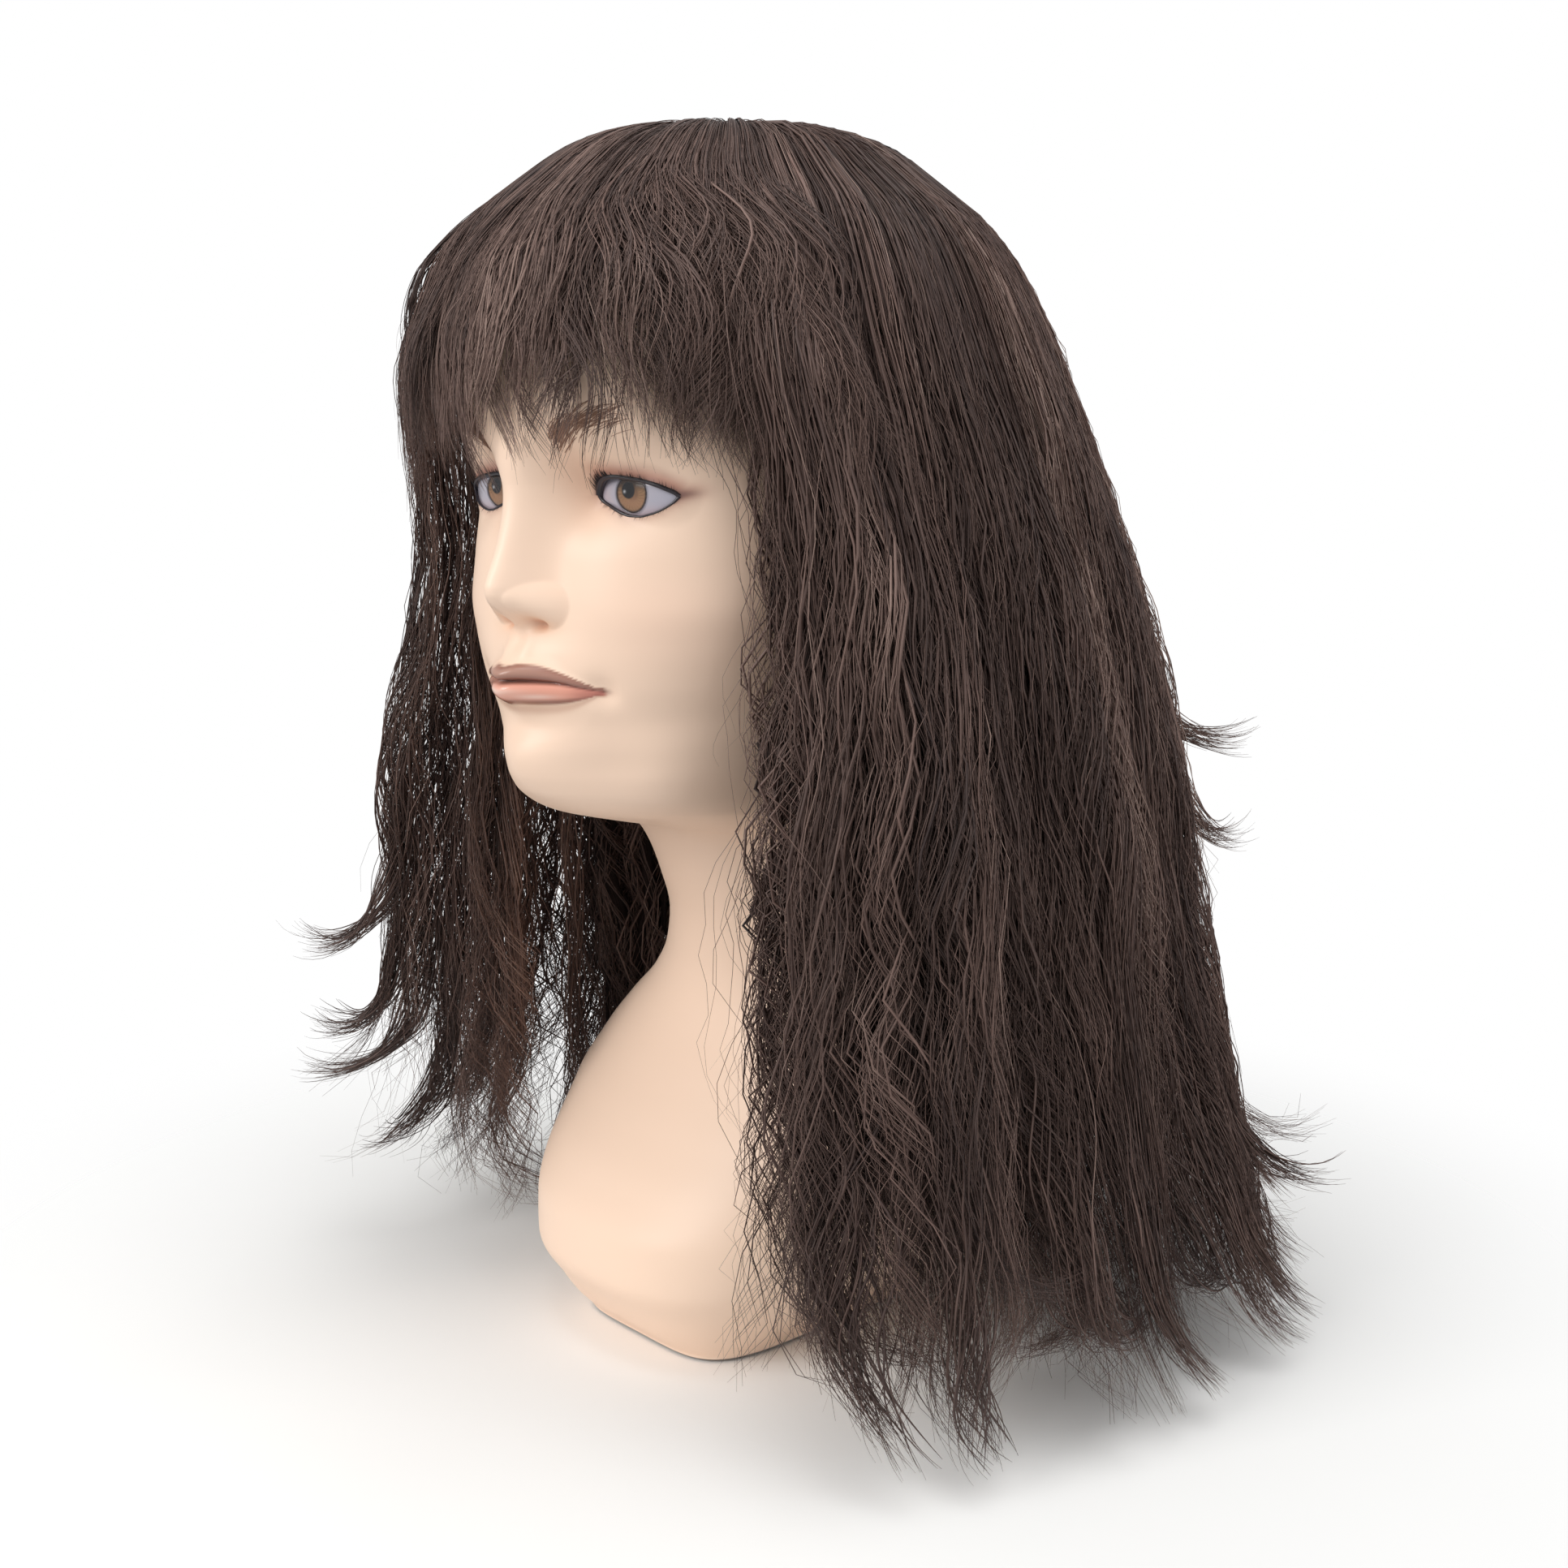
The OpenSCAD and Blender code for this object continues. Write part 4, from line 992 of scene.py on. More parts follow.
def make_brow(side, name):
    """Painted strokes, thick at the inner end and fading outwards."""
    size = (180, 1)
    share = face_rng.uniform(0, 1, size) ** 1.1
    root_z = 313.4 + 7.0 * sin(clip(share * 1.5, 0, 1.57)) + face_rng.normal(0, 1.9, size)
    slant = radians(56 - 28 * share + face_rng.normal(0, 6, size))
    length = face_rng.uniform(5.5, 9.0, size) * (1 - .2 * share)
    along = linspace(0, 1, 10)
    x = (15.0 + 19 * share + cos(slant) * length * along + .5 * along ** 2) * side
    z = root_z + sin(slant) * length * along - .9 * along ** 2
    radii = ((.17 * sin(pi * clip(along * .9 + .1, 0, 1)) ** .6 + .015)
             * face_rng.uniform(.7, 1.15, size) * (1 - .55 * share))
    points, faces, uv = tubes(turned(stack([x, front_y(x, z) - .04, z], -1)), radii, 4,
                              np.array([1.0, 0, .3]), 1.3)
    make(name + "_brow_strokes", points, faces, MATERIALS["brow_paint"], uv=uv)


for side, side_name in SIDES:
    for make_piece in (make_liner, make_lid_rim, make_lashes, make_eye, make_brow):
        make_piece(side, side_name)


# ---------------------------------------------------------------- wig cap
CAP_GAP, CAP_THICK = 1.2, 1.0
ON_CAP = CAP_GAP + CAP_THICK + .3
# Radii of the layers round the nape
CURTAIN_R = 77.2
BAND_R = CURTAIN_R + CAP_THICK + .3
STRAP_R = BAND_R + 1.3
HOOK_R = STRAP_R + 1.2
CURTAIN_Z, RIM_Z = 228, 326.0
# Lower edge of the cap: angle from the front, height
CAP_EDGE = np.array([[0, 352], [30, 350], [50, 340], [66, 328], [78, RIM_Z], [180, RIM_Z]])


def edge_z(angle):
    return np.interp(np.abs(wrap(angle)), CAP_EDGE[:, 0], CAP_EDGE[:, 1])


def cap_points(z, angle, out, lift=None):
    """Points off the scalp, lifted too towards the crown."""
    lift = out if lift is None else lift
    x, y = scalp(z, angle, out)
    return turned(stack([x, y, z + lift * ease((z - 350) / 45)], -1))


def cap_band(angles, height, inner, outer, raised, closed=False):
    angle, share = np.meshgrid(angles, linspace(0, 1, 7))
    z = height(angle, share)
    up = np.array([0, 0, raised])
    return sheet(cap_points(z, angle, outer) + up, cap_points(z, angle, inner) + up, closed)


def arc_points(radius, angle, z):
    """Points on a circle round the head's axis, angle in radians from the back to its left."""
    return turned(stack([radius * sin(angle), radius * cos(angle), z], -1))


def arc_band(inner, outer, low, high, first, last, rows):
    """Band round the nape, angles in degrees."""
    count = max(4, int(abs(last - first) / 1.5))
    angle, z = np.meshgrid(radians(linspace(last, first, count + 1)),
                           linspace(low, high, rows))
    return sheet(arc_points(outer, angle, z), arc_points(inner, angle, z))


def make_cap(name, mesh, material, replaced, body="wig"):
    make(name, *mesh, MATERIALS[material], body, [replaced], material)


def dome():
    angle, share = np.meshgrid(np.arange(0, 360, 2.5), sin(linspace(0, pi / 2, 44)) ** .9)
    z = lerp(edge_z(angle), 399.9, share)
    scallop = .35 * sin(radians(angle) * 60) * bell(share, .03)
    out = CAP_GAP + CAP_THICK
    return sheet(cap_points(z, angle, out + scallop, out), cap_points(z, angle, CAP_GAP), True)


def nape_curtain():
    """Net below the dome at the back; its top edge leans in to the cap's rim."""
    angle, share = np.meshgrid(radians(linspace(56, -56, 76)), linspace(0, 1, 40))
    z = CURTAIN_Z + 98.2 * share
    lean = ease((share - .93) / .07)
    rim = hypot(*scalp(RIM_Z, 180 - np.degrees(angle), CAP_GAP + .4))
    mesh_relief = .075 * sin(angle * 90) * sin(z * 1.1)
    outer = lerp(CURTAIN_R + CAP_THICK, rim + CAP_THICK * .9, lean) + mesh_relief
    return sheet(arc_points(outer, angle, z), arc_points(lerp(CURTAIN_R, rim, lean), angle, z))


def loop_tape():
    """Tape with a row of raised ribs."""
    ribs = [arc_band(STRAP_R + .6, STRAP_R + 1 + .1 * sin(at), 233, 241, at - .5, at + .5, 6)
            for at in np.arange(-6.5, 6.6, 1.3)]
    return join([arc_band(STRAP_R, STRAP_R + .7, 232, 242, -7.5, 7.5, 9)] + ribs)


def strap_keepers():
    """Loops round the strap: an outer bar with a return at its foot and top."""
    parts = []
    for at in (-50, -35, 31, 46):
        for inner, outer, low, high, rows in (
                (STRAP_R + 1.05, HOOK_R + .7, 231, 243, 8),
                (STRAP_R - .2, STRAP_R + 1.1, 231, 232.6, 3),
                (STRAP_R - .2, STRAP_R + 1.1, 241.4, 243, 3)):
            parts.append(arc_band(inner, outer, low, high, at, at + 4, rows))
    return join(parts)


def ear_tab(side):
    """Tab in front of and over the ear, flaring towards its foot."""
    up, across = np.meshgrid(linspace(0, 1, 14), linspace(0, 4, 13), indexing="ij")
    z = lerp(302, 326.4, up)
    flare = (clip(1 - across, 0, 1) - clip(across - 3, 0, 1)) * 3 * (1 - up) ** 1.5
    x, y = scalp(z, 76 * side - 8 + 4 * across + flare, 0)
    return sheet(*(turned(stack([x + side * (CAP_GAP + out), y, z], -1)) for out in (1.4, .6)))


def weft_rows():
    parts = []
    angle, share = np.meshgrid(linspace(74, 286, 150), linspace(0, 1, 5))
    ripple = .15 * sin(angle * 3.0)
    for foot in (334, 346, 358, 369, 379):
        z = foot + 3 * share
        parts.append(sheet(cap_points(z, angle, ON_CAP + 1.75 + ripple, ON_CAP + 1.8),
                           cap_points(z, angle, ON_CAP + .8)))
    for foot in (256, 270, 284, 298, 311):
        parts.append(arc_band(BAND_R, BAND_R + 1.2, foot, foot + 3, -54, 54, 5))
    return join(parts)


make_cap("cap_dome_net", dome(), "cap_net", "cap_dome")
make_cap("front_band_tape", cap_band(
    np.arange(-62, 62.1, 1.0),
    lambda angle, share: (edge_z(angle) + 1 + 8 * share
                          + .6 * sin(radians(angle) * 50) * (share < .1)),
    ON_CAP, ON_CAP + .7, raised=.5), "hairline_tape", "front_band")
make_cap("crown_patch_base", cap_band(
    np.arange(0, 360, 5), lambda angle, share: lerp(391, 399.9, sin(share * pi / 2)),
    ON_CAP + .2, ON_CAP + .8, raised=.1, closed=True), "skin_top", "crown_patch")
make_cap("nape_curtain_net", nape_curtain(), "cap_net", "nape_curtain")
make_cap("nape_band_elastic", arc_band(BAND_R, BAND_R + 1, 229, 245, -55, 55, 9), "elastic",
         "nape_band")
make_cap("loop_tape_pile", loop_tape(), "elastic", "loop_tape")
make_cap("strap_keeper_loops", strap_keepers(), "elastic", "strap_keepers")
for side, side_name in SIDES:
    strap = arc_band(STRAP_R, STRAP_R + .8, 233, 241, *sorted((15 * side, 53 * side)), 9)
    make_cap(side_name + "_adjuster_elastic", strap, "elastic",
             side_name + "_adjuster_strap", side_name + "_adjuster")
    make_cap(side_name + "_ear_tab_net", ear_tab(side), "cap_net", side_name + "_ear_tab")
make_cap("cap_weft_rows", weft_rows(), "weft", "cap_wefts")


# ---------------------------------------------------------------- hair surface
# Strands are placed by drop (mm from the crown along the outer line), angle and depth
# (0 at the scalp, 1 at the outer line). The line curves over to TURN_Z, then falls straight.
TURN_DROP, TURN_Z = 100, 367
FULL_DROP = TURN_DROP + TURN_Z
SCALP_LIFT = 4.6
MEET_DROP = 14.0
# Box the hair has to stay in, in the part frame
HAIR_MARGIN = 16.5
HAIR_LOW = np.array([-163.8 - HAIR_MARGIN, -128.4 - HAIR_MARGIN, .8])
HAIR_HIGH = np.array([160.3 + HAIR_MARGIN, 187.3 + HAIR_MARGIN, 434.0])


def drop_z(drop):
    over = clip(drop, 0, TURN_DROP) / TURN_DROP
    return where(drop < TURN_DROP, TURN_Z + (HAIR_TOP - TURN_Z) * cos(over * pi / 2),
                 TURN_Z - (drop - TURN_DROP))


def hair_below_crown(drop, angle, depth):
    z = drop_z(drop)
    in_z = where(z > 330, 330 + (z - 330) * (HEAD_TOP - 330) / (HAIR_TOP - 330), z)
    out_x, out_y = mane(maximum(z, 0), angle)
    head_x, head_y = scalp(maximum(in_z, 326), angle, SCALP_LIFT)
    hang_x, hang_y = hang(angle)
    cheek_x, cheek_y = scalp(clip(in_z, 290, 326), angle, 3.6)
    near_face = ease((66 - np.abs(wrap(angle))) / 8)
    hang_x, hang_y = lerp(hang_x, cheek_x, near_face), lerp(hang_y, cheek_y, near_face)
    free = ease((326 - in_z) / 30)
    in_x, in_y = lerp(head_x, hang_x, free), lerp(head_y, hang_y, free)
    in_z = in_z + SCALP_LIFT * ease((in_z - 350) / 45)
    return stack([lerp(in_x, out_x, depth), lerp(in_y, out_y, depth), lerp(in_z, z, depth)], -1)


def hair_points(drop, angle, depth):
    drop, angle, depth = np.broadcast_arrays(drop, angle, depth)
    points = hair_below_crown(maximum(drop, MEET_DROP), angle, depth)
    top = drop < MEET_DROP
    if top.any():
        # all strands meet at the crown
        across = hair_below_crown(np.full(top.sum(), MEET_DROP), angle[top] + 180, depth[top])
        middle = (points[top] + across) / 2
        share = clip(drop[top] / MEET_DROP, 0, 1)[:, None]
        points[top] = middle + (points[top] - middle) * share
        points[top, 2] += (drop_z(drop[top]) - drop_z(MEET_DROP)) * (.4 + .6 * depth[top])
    return points


def sweep(angle):
    """How far the fringe runs sideways on its way down, in degrees."""
    return 11 * ease((angle - 14) / 18) - 8 * ease((12 - angle) / 26)


# ---------------------------------------------------------------- locks and strands
def make_locks(first, last, step, layers, tips, seed):
    """Locks spread in angle at each layer depth; tips gives the height they end at."""
    rng = np.random.default_rng(seed)
    count = max(2, int(round((last - first) / step)))
    rows = []
    for layer, depth in enumerate(layers):
        for i in range(count):
            place = i + .5 + .7 * (rng.random() - .5) + .5 * ((layer % 2) - .5)
            angle = clip(first + (last - first) * (place / count), first, last)
            rows.append((angle, clip(depth + rng.normal(0, .055), .03, 1.0), *rng.random(4),
                         rng.normal(), rng.random(), rng.normal()))
    angle, depth, tip, phase, wavelength, amount, tint, curl, drift = np.array(rows).T
    return SimpleNamespace(
        angle=angle, depth=depth, tip=tips(angle, tip, depth), wavelength=46 + 36 * wavelength,
        amount=.5 + .9 * amount, tint=.42 + .11 * tint, curl=curl, drift=drift,
        phase=2.1 * sin(angle / 17.0) + 1.3 * sin(angle / 6.1 + 2 * depth) + phase * 3.4)


# Strand styles. points and sides: mesh counts; flat: width over thickness; vary: range of
# random thickness; taper: power and amount; root: thickness share per mm from the axis, plus
# a start; fan: spread in degrees; clump: how far it closes; tip_jitter, start (length
# measured up from the tip) and cut (off the tip): mm; keep: chance of a strand by angle.
SHARED = dict(wave=6.3, curl=1.0, drift=1.3, start=0.0, cut=0, bias=0.0, fringe=False,
              keep=None, fan=3.4)
STYLES = {
    "core": dict(SHARED, points=26, radius=4.2, sides=7, flat=1.9, vary=None, taper=(2, .96),
                 root=(.03, 0), clump=0, frizz=.3, wave=6.3 * .8, tip_jitter=3, curl=0,
                 cut=55),
    "mid": dict(SHARED, points=32, radius=.36, sides=3, flat=1.7, vary=(.6, 1.3),
                taper=(4, .9), root=(.05, .3), clump=.92, frizz=.7, tip_jitter=9, bias=-.06),
    "fine": dict(SHARED, points=36, radius=.18, sides=3, flat=1.15, vary=(.65, 1.2),
                 taper=(5, .8), root=(0, 1), clump=.9, frizz=1.4, tip_jitter=11, drift=.9)}


def grow(lock, fan, spread, style, rng):
    """Paths of strands; fan and spread place each one in its lock, in angle and depth."""
    size = lock.angle.shape
    jitter = np.abs(rng.normal(0, 1, size)) * style.tip_jitter
    end = FULL_DROP - lock.tip - jitter * where(rng.random(size) > .25, 1, -.4)
    end = minimum(end, FULL_DROP - 2.5) - style.cut
    if style.start > 0:
        begin = end - rng.uniform(.5, 1, size) * style.start
    else:
        begin = where(lock.depth > .5, rng.uniform(.4, 24, size) ** 1.15,
                      rng.uniform(18, 70, size) * (1.15 - lock.depth))
    along = linspace(0, 1, style.points)[None, :]
    drop = begin + (end - begin) * along
    if style.fringe:
        part = rng.random(size)
    stray = rng.normal(0, 1, size) * style.drift
    if style.fringe:
        width = 1.15 - style.clump * ease((along - .35) / .65)
        angle = lock.angle + fan * width
        angle = angle + (sweep(lock.angle + .6 * fan) * ease((drop - 58) / 66)
                         * (.75 + .4 * part))
        angle = angle + 3.0 * sin(drop / 30 + lock.phase) * ease((drop - 50) / 40)
    else:
        width = (1 - .55 * style.clump * ease((along - .3) / .5)
                 - .42 * style.clump * ease((along - .72) / .28))
        # the front edge of the left hair closes towards the face
        closing = (3.6 * ease((62 - lock.angle) / 10) * ease((lock.angle - 40) / 6)
                   * ease((drop - 205) / 130))
        angle = lock.angle - closing + fan * width
        angle = angle + (lock.drift * 2.6 + stray) * ease((drop - 90) / 300)
    # broad ridges and valleys over the whole head
    ridge = .085 * sin(angle / 4.4 + 1.5 * sin(drop / 61.0) + .8) * ease((drop - 60) / 60)
    depth = lock.depth + spread * (.4 + .6 * width) + ridge * lock.depth
    depth = clip(depth, .02, 1.05) * (.74 + .26 * ease((drop - begin) / 45))
    if style.fringe:
        depth = depth * (1 - .62 * ease((drop - 96) / 46) * ease((lock.angle + 24) / 20)
                         * ease((58 - angle) / 16))
        rise = .85 * ease((drop - 45) / 60)
    else:
        rise = ease((drop - 105) / 170)
    # waves, then finer frizz: sideways and outward
    height = style.wave * lock.amount * rise * (1 + .45 * sin(drop / 37.0 + lock.phase * 2.3))
    wavelength = lock.wavelength * rng.uniform(.93, 1.07, size)
    phase = 2 * pi * drop / wavelength + lock.phase + rng.normal(0, .3, size)
    sideways = height * sin(phase)
    outward = .55 * height * cos(phase * .83 + .6)
    frizz = rng.uniform(.25, 1, size) ** 1.5 * style.frizz * ease((drop - 50) / 90)
    wavelength = rng.uniform(22, 60, size)
    start = rng.uniform(0, 6.28, size)
    sideways = sideways + frizz * sin(2 * pi * drop / wavelength + start)
    outward = outward + .6 * frizz * cos(2 * pi * drop / wavelength * 1.13 + start)
    lift = 0
    if style.curl > 0 and not style.fringe:
        # hooked ends
        hook = 46.0
        run = clip(drop - (FULL_DROP - lock.tip - hook), 0, hook + 12)
        off_middle = np.abs(lock.curl - .5)
        radius = where(off_middle > .34, 24.0, where(off_middle > .18, 48.0, 120.0))
        radius = radius / style.curl * rng.uniform(.85, 1.2, size)
        heading = 2 * pi * (lock.curl * 5 % 1) * .8 - 1.2
        bend = radius * (1 - cos(run / radius))
        sideways = sideways + bend * sin(heading)
        outward = outward + bend * cos(heading) * .85
        lift = maximum(run - radius * sin(run / radius), 0)
    points = hair_points(drop, angle, depth)
    x, y = points[..., 0], points[..., 1] + 14
    from_axis = maximum(hypot(x, y), 4)
    out_x, out_y = x / from_axis, y / from_axis
    points[..., 0] += out_x * outward - out_y * sideways
    points[..., 1] += out_y * outward + out_x * sideways
    points[..., 2] = maximum(points[..., 2] + lift, 1.2)
    across = stack([-out_y, out_x, np.zeros_like(from_axis)], -1)
    return points, across, along, drop, from_axis


def strands(locks, kind, count, rng, **changes):
    """Tube mesh and attributes for count strands in each lock."""
    style = SimpleNamespace(**{**STYLES[kind], **changes})
    if kind == "core":
        # none near the face, and room at the nape for the adjusters
        nape = (locks.depth < .26) & (np.abs(locks.angle - 180) < 52)
        owner = where((locks.depth < .66) & (locks.angle > 50) & (locks.angle < 256)
                      & ~nape)[0]
    else:
        owner = np.repeat(np.arange(len(locks.angle)), count)
    if style.keep is not None:
        owner = owner[rng.random(len(owner)) < style.keep(locks.angle[owner])]
    lock = SimpleNamespace(**{key: value[owner][:, None]
                              for key, value in vars(locks).items()})
    size = (len(owner), 1)
    if kind == "core":
        fan = spread = np.zeros(size)
    elif kind == "mid":
        fan = rng.uniform(-1, 1, size) * style.fan
        spread = rng.uniform(-1, 1, size) * .12
    else:
        fan = rng.normal(0, .6, size) * style.fan
        spread = rng.normal(0, .5, size) * .14 + .02
    paths, across, along, drop, from_axis = grow(lock, fan, spread, style, rng)
    power, amount = style.taper
    slope, start = style.root
    radii = (style.radius * (rng.uniform(*style.vary, size) if style.vary else 1)
             * (1 - along ** power * amount) * minimum(1, from_axis * slope + start))

    tint = lock.tint + rng.normal(0, .11, size) + style.bias
    if kind == "fine":
        tint = tint + .22 * (rng.random(size) > .86)
    tint = (tint + .08 * along + .07 * sin(drop / 23 + lock.phase)
            + .05 * sin(drop / 71 + lock.angle / 9)
            + .17 * bell(wrap(lock.angle - 135), 42) * ease((drop - 60) / 60)
            - .13 * ease((drop - 300) / 130) - .06 * (1 - ease((drop - 40) / 90)))
    # painted sheen, greyer where the strands spring from the crown
    crown_sheen = (.8 * clip(.95 - drop / 46, 0, 1)
                * (.55 + .45 * sin(lock.phase * 3 + owner[:, None])))

    paths, across = turned(paths), turned(across)
    # the hair stands off the sliding adjusters
    x, y, z = paths[..., 0], paths[..., 1], paths[..., 2]
    reach = maximum(hypot(x, y), 1)
    off = (ease((20 - np.abs(z - 237)) / 10)
           * ease((74 - np.degrees(np.arctan2(np.abs(x), y))) / 10))
    paths[..., :2] *= (1 + maximum(86.5 - reach, 0) * off / reach)[..., None]
    paths = clip(paths, HAIR_LOW, HAIR_HIGH)
    attrs = {"tint": np.repeat(clip(tint, 0, 1).ravel(), style.sides),
             "grey": np.repeat(crown_sheen.ravel(), style.sides)}
    if kind == "core":
        strand = owner[:, None, None]
        around = np.arange(style.sides) / style.sides * 2.2 + strand * 1.37 % 11
        lengthwise = (drop / 60)[..., None] + strand * .77 % 5
        around, lengthwise = np.broadcast_arrays(around, lengthwise)
        attrs.update(around=around.ravel(), along=lengthwise.ravel())
    return (*tubes(paths, radii, style.sides, across, style.flat), attrs)


def tress(name, parts, replaces=(), material=HAIR_STRAND):
    """One hair piece out of several bundles of strands."""
    share = 1 / len(parts)
    places = [([share, 1], [i / len(parts), 0]) for i in range(len(parts))]
    attrs = {key: concatenate([part[3][key] for part in parts]) for key in parts[0][3]}
    make(name, *join(parts), material, "wig", replaces, "hair", uv=join_uv(parts, places),
         attrs=attrs)


# ---------------------------------------------------------------- side and back hair
def side_tips(angle, random, depth):
    at = wrap(angle)
    left = 5 + 26 * random + 6 * sin(angle / 7.0) + 3 * ease((70 - at) / 14)
    right = (3 + 22 * random ** 1.4 + 8 * sin(angle / 6.0)
             + (24 + 52 * random) * ease((at + 84) / 32) * ease((depth - .45) / .35))
    return maximum(where(at > 0, left, right), 3) + 34 * (1 - depth) * random


def airy(angle):
    """Thin at the left front edge; the right side is separate locks with light between."""
    at = wrap(angle)
    gone = (sin(angle * 91.7) * 43758.5) % 1 < .6 * ease((at + 112) / 18) * (at < 0)
    kept = (1 - .38 * ease((57 - at) / 8) * (at > 0)
            - .3 * ease((at + 100) / 16) * (at < 0))
    return kept * where(gone, .05, 1)


# Name, first and last angle, step, layer depths, wave height, frame pieces replaced
REGIONS = (
    ("left", 47, 125, 4.4, (.1, .34, .58, .8, .97), 6.3, ["left_front_lock", "left_side_hair"]),
    ("back", 125, 236, 5.0, (.1, .36, .62, .84, .98), 6.3, ["back_hair", "nape_hair"]),
    ("right", 236, 313, 4.8, (.1, .36, .62, .84, .98), 9.0,
     ["right_front_lock", "right_side_hair"]))
for i, (region, first, last, step, layers, wave, replaces) in enumerate(REGIONS):
    locks = make_locks(first, last, step, layers, side_tips, seed=101 + i)
    rng = np.random.default_rng(501 + i)
    tress(region + "_core_locks", [strands(locks, "core", 1, rng)], replaces, HAIR_LOCK)
    tress(region + "_strands", [strands(locks, "mid", 13, rng, keep=airy, wave=wave),
                                strands(locks, "fine", 31, rng, keep=airy, wave=wave)])


# ---------------------------------------------------------------- fringe
def fringe_tips(angle, random, depth):
    base = 316 + 4 * sin(angle / 4.1) + 22 * (random - .5)
    return base - 9 * ease((angle - 26) / 20) - 12 * ease((-16 - angle) / 20)


def under_tips(angle, random, depth):
    return 330 + 22 * random + 18 * bell(angle - 20, 8)


def thinned(angle):
    """A sparse place left of the middle."""
    return 1 - .72 * bell(angle - 17, 5)


rng = np.random.default_rng(500)
main = make_locks(-54, 54, 3.6, (.25, .6, .94), fringe_tips, seed=100)
left = make_locks(24, 52, 2.4, (.35, .7, .96), fringe_tips, seed=105)
under = make_locks(-54, 54, 3.2, (.2, .5), under_tips, seed=77)
tress("fringe_strands", [
    strands(main, "mid", 7, rng, fringe=True, keep=thinned, radius=.27, fan=3.2, clump=.95,
            points=26),
    strands(main, "fine", 32, rng, fringe=True, keep=thinned, fan=3.6, clump=.98, frizz=1.0,
            points=28, tip_jitter=9, radius=.17),
    strands(left, "fine", 24, rng, fringe=True, clump=.7, frizz=1.0, points=28,
            tip_jitter=6.5, radius=.17),
    strands(left, "mid", 4, rng, fringe=True, radius=.27, fan=3.2, clump=.75, points=26),
    # the under layer is darker, as painted shade beneath the fringe
    strands(under, "mid", 10, rng, fringe=True, radius=.45, fan=3.0, clump=.2, points=16,
            bias=-.14)], ["fringe_hair", "crown_hair"])

# ---------------------------------------------------------------- flicked locks and wisps
# Locks that stand away from the rest: angle, depth, tip height, curl
FLICKS = np.array([
    (-44, 1.0, 112, .0477), (-50, .95, 72, .04), (-58, 1.0, 50, .06), (134, 1.0, 186, .0477),
    (128, 1.0, 150, .07), (118, 1.0, 34, .0477), (124, 1.0, 6, .25), (110, .98, 5, .25),
    (99, 1.0, 5, .11), (86, 1.0, 6, .26), (104, 1.0, 4, .245), (116, .97, 3, .255),
    (76, .95, 10, .12), (60, .9, 8, .24), (50, .9, 14, .27), (140, 1.0, 12, .25),
    (152, 1.0, 18, .05), (-66, .9, 22, .11), (-80, .95, 14, .06)])
angle, depth, tip, curl = FLICKS.T
flicks = SimpleNamespace(
    angle=angle, depth=depth, tip=tip, curl=curl, wavelength=np.full(len(angle), 70.0),
    amount=np.full(len(angle), .8), tint=np.full(len(angle), .4), drift=angle * 0,
    phase=angle * .37)
rng = np.random.default_rng(801)
tress("flicked_locks", [
    strands(flicks, "fine", 70, rng, clump=.93, fan=2.6, tip_jitter=9, curl=.9, frizz=.9,
            start=170),
    strands(flicks, "mid", 22, rng, clump=.93, fan=2.2, start=150)])


def stray_tips(angle, random, depth):
    return where(np.abs(wrap(angle)) < 54, 318 + 34 * random, 20 + 250 * random)


# Wisps at the front edges of the side hair, and strays lying free all round
left = make_locks(43, 52, 2.0, (.25, .55, .85), lambda angle, u, depth: 30 + 190 * u, 700)
right = make_locks(-52, -42, 2.5, (.3, .7, 1.0), lambda angle, u, depth: 40 + 170 * u, 702)
strays = make_locks(-50, 310, 4, (1.0, 1.0), stray_tips, seed=900)
rng = np.random.default_rng(701)
tress("loose_hairs", [
    strands(left, "fine", 5, rng, frizz=2.6, fan=4, clump=.1, radius=.13, drift=4),
    strands(right, "fine", 7, rng, frizz=3.0, fan=5, clump=.1, radius=.13, drift=5),
    strands(strays, "fine", 6, rng, wave=5.0, frizz=4.5, fan=9, clump=.0, radius=.11, drift=6,
            curl=.0)])

# ---------------------------------------------------------------- stage, in metres
scene = bpy.context.scene


def make_floor():
    """Paper sheet that fades out into the white of the room."""
    half, count = 4, 40
    mesh = bpy.data.meshes.new("floor")
    x, y = np.meshgrid(linspace(-half, half, count), linspace(-half, half, count))
    points = stack([x, y, np.zeros_like(x)], -1).reshape(-1, 3)
    mesh.from_pydata(points.tolist(), [], grid_faces(count, count).tolist())
    floor = bpy.data.objects.new("floor", mesh)
    scene.collection.objects.link(floor)
    shader = Shader("floor_paper", rgba(250, 250, 249), rough=.7, spec=.1)
    shader.base(shader.ramp(shader.noise(scale=6, detail=2), (.3, rgba(252, 252, 251)),
                            (.8, rgba(248, 248, 247))))
    distance = shader.node("VectorMath", "Value", {0: shader.node("TexCoord", "Object")},
                           operation="LENGTH")
    fade = shader.node("MapRange", "Result", {
        "From Min": .14, "From Max": .4, "To Min": 1, "To Max": 0, "Value": distance},
        interpolation_type="SMOOTHSTEP")
    shader.feed(shader.surface, {"Alpha": fade})
    mesh.materials.append(shader.material)


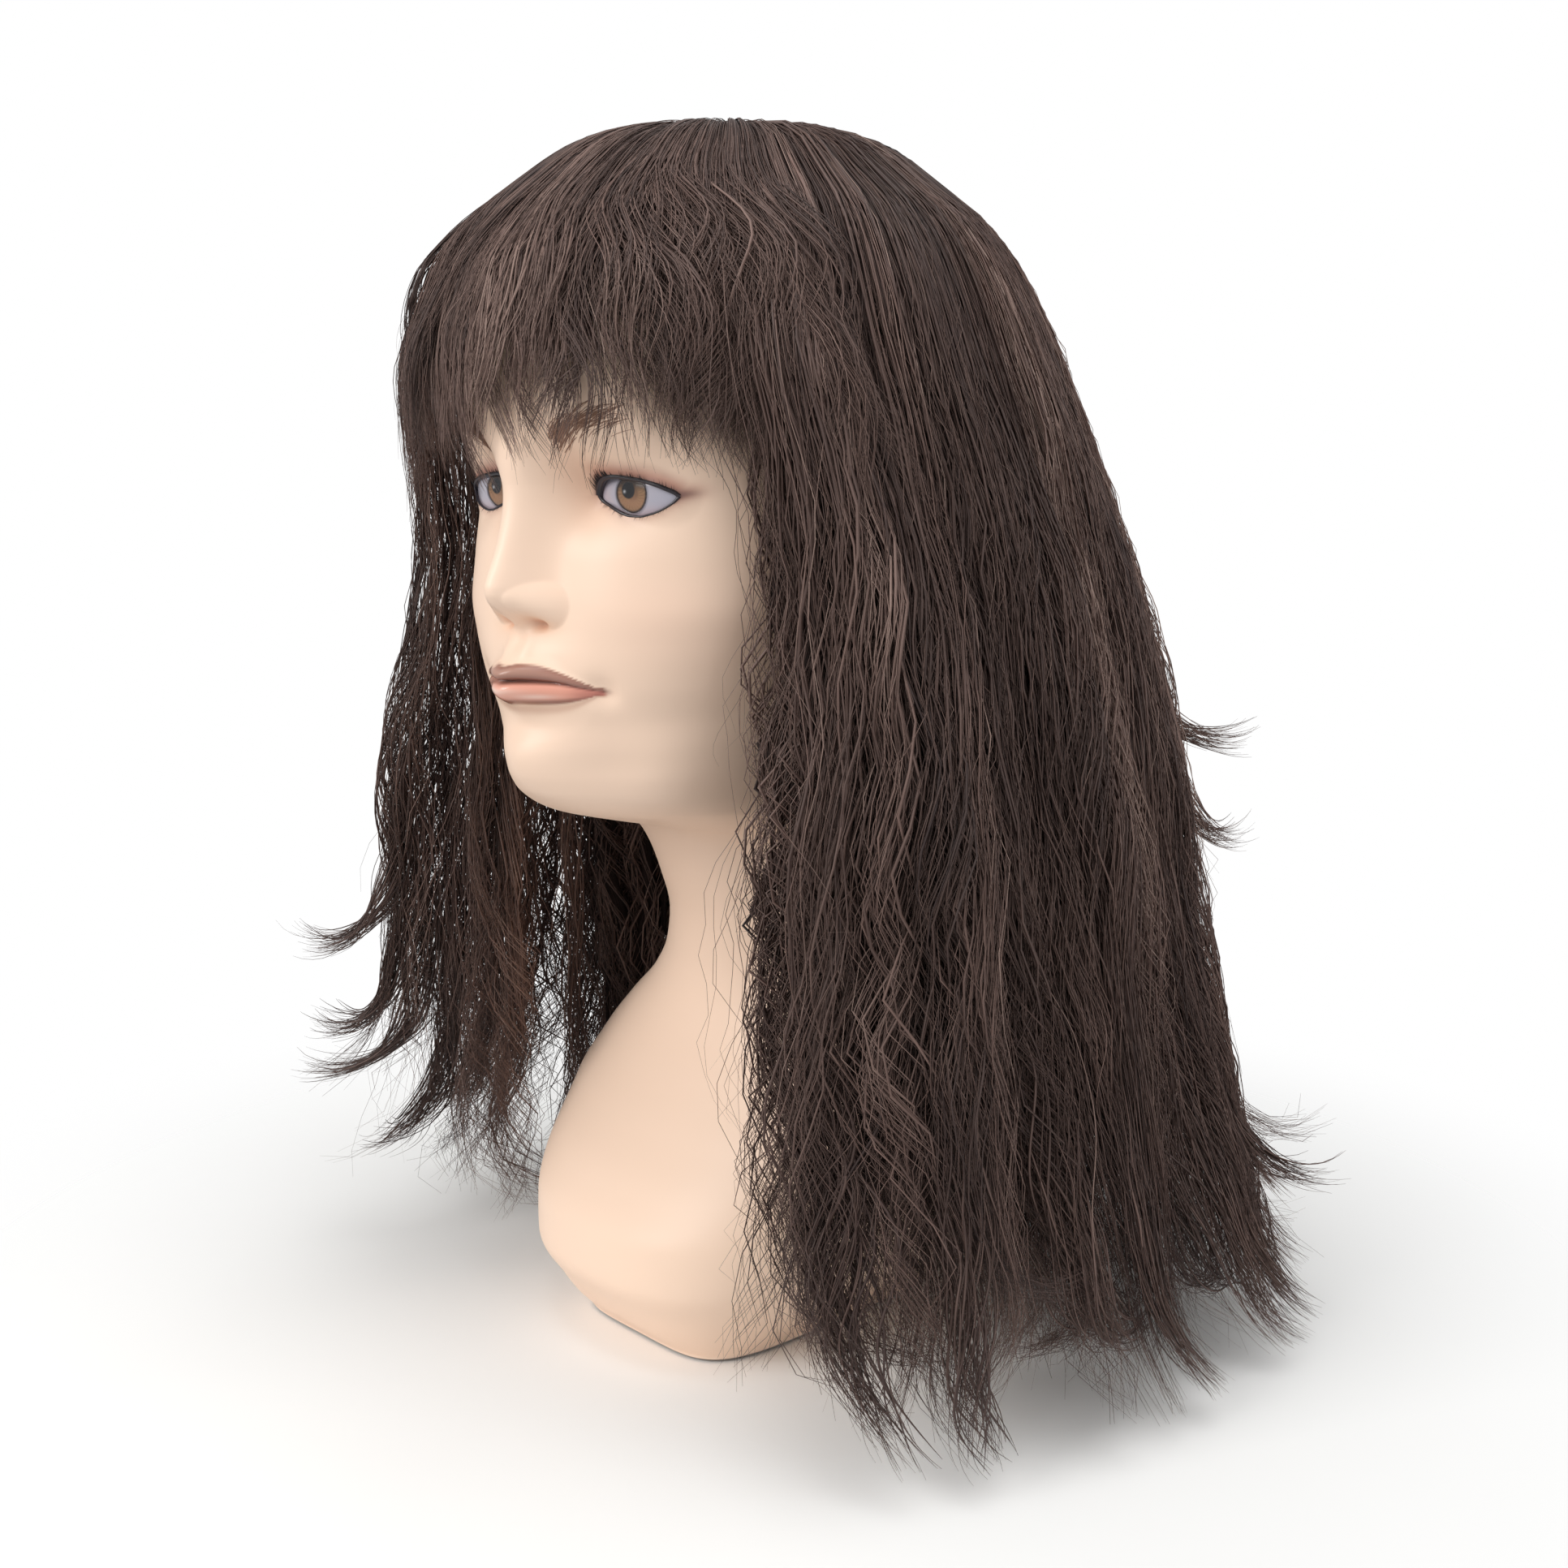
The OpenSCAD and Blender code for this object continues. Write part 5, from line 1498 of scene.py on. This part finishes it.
def make_world():
    """Soft warm light all round, plain white to the camera."""
    world = bpy.data.worlds.new("studio")
    scene.world = world
    world.use_nodes = True
    nodes, links = world.node_tree.nodes, world.node_tree.links
    ambient = next(node for node in nodes if node.type == "BACKGROUND")
    output = next(node for node in nodes if node.type == "OUTPUT_WORLD")
    backdrop = nodes.new("ShaderNodeBackground")
    for node, color, strength in ((ambient, (1, .995, .985, 1), .5),
                                  (backdrop, (1, 1, 1, 1), 1.0)):
        node.inputs["Color"].default_value = color
        node.inputs["Strength"].default_value = strength
    path = nodes.new("ShaderNodeLightPath")
    mix = nodes.new("ShaderNodeMixShader")
    links.new(path.outputs["Is Camera Ray"], mix.inputs[0])
    links.new(ambient.outputs[0], mix.inputs[1])
    links.new(backdrop.outputs[0], mix.inputs[2])
    links.new(mix.outputs[0], output.inputs["Surface"])


def area_light(name, place, target, size, power, color=(1, 1, 1)):
    light = bpy.data.lights.new(name, "AREA")
    light.shape = "RECTANGLE"
    light.size, light.size_y = size
    light.energy = power
    light.color = color
    lamp = bpy.data.objects.new(name, light)
    scene.collection.objects.link(lamp)
    lamp.location = place
    aim = Vector(target) - Vector(place)
    lamp.rotation_euler = aim.to_track_quat("-Z", "Y").to_euler()


def make_camera():
    lens = bpy.data.cameras.new("camera")
    camera = bpy.data.objects.new("camera", lens)
    scene.collection.objects.link(camera)
    lens.sensor_width = 36.0
    lens.sensor_fit = "HORIZONTAL"
    lens.lens = 44.72
    lens.clip_start = .01
    lens.clip_end = 50
    right = Vector((0.68199836, 0.7313537, 0.0))
    look = Vector((-0.71898948, 0.67046853, -0.18310127)).normalized()
    up = right.cross(look).normalized()
    pose = Matrix((right, up, -look)).transposed().to_4x4()
    pose.translation = Vector((0.50793479, -0.4666096, 0.320))
    camera.matrix_world = pose
    scene.camera = camera


make_floor()
make_world()
# key from the front and above, fill from the head's left, a top light for the crown
area_light("key", place=(-.15, -1.25, .95), target=(0, 0, .25), size=(.7, .9), power=11.5,
           color=(1, .99, .975))
area_light("fill", place=(1.35, .15, .55), target=(0, 0, .2), size=(.9, .9), power=4.5,
           color=(.98, .99, 1))
area_light("top", place=(.25, -.1, 1.5), target=(0, 0, .3), size=(.8, .8), power=6.5)
make_camera()
scene.view_settings.view_transform = "Standard"
scene.view_settings.look = "None"
scene.view_settings.exposure = 0.0
scene.view_settings.gamma = 1.0

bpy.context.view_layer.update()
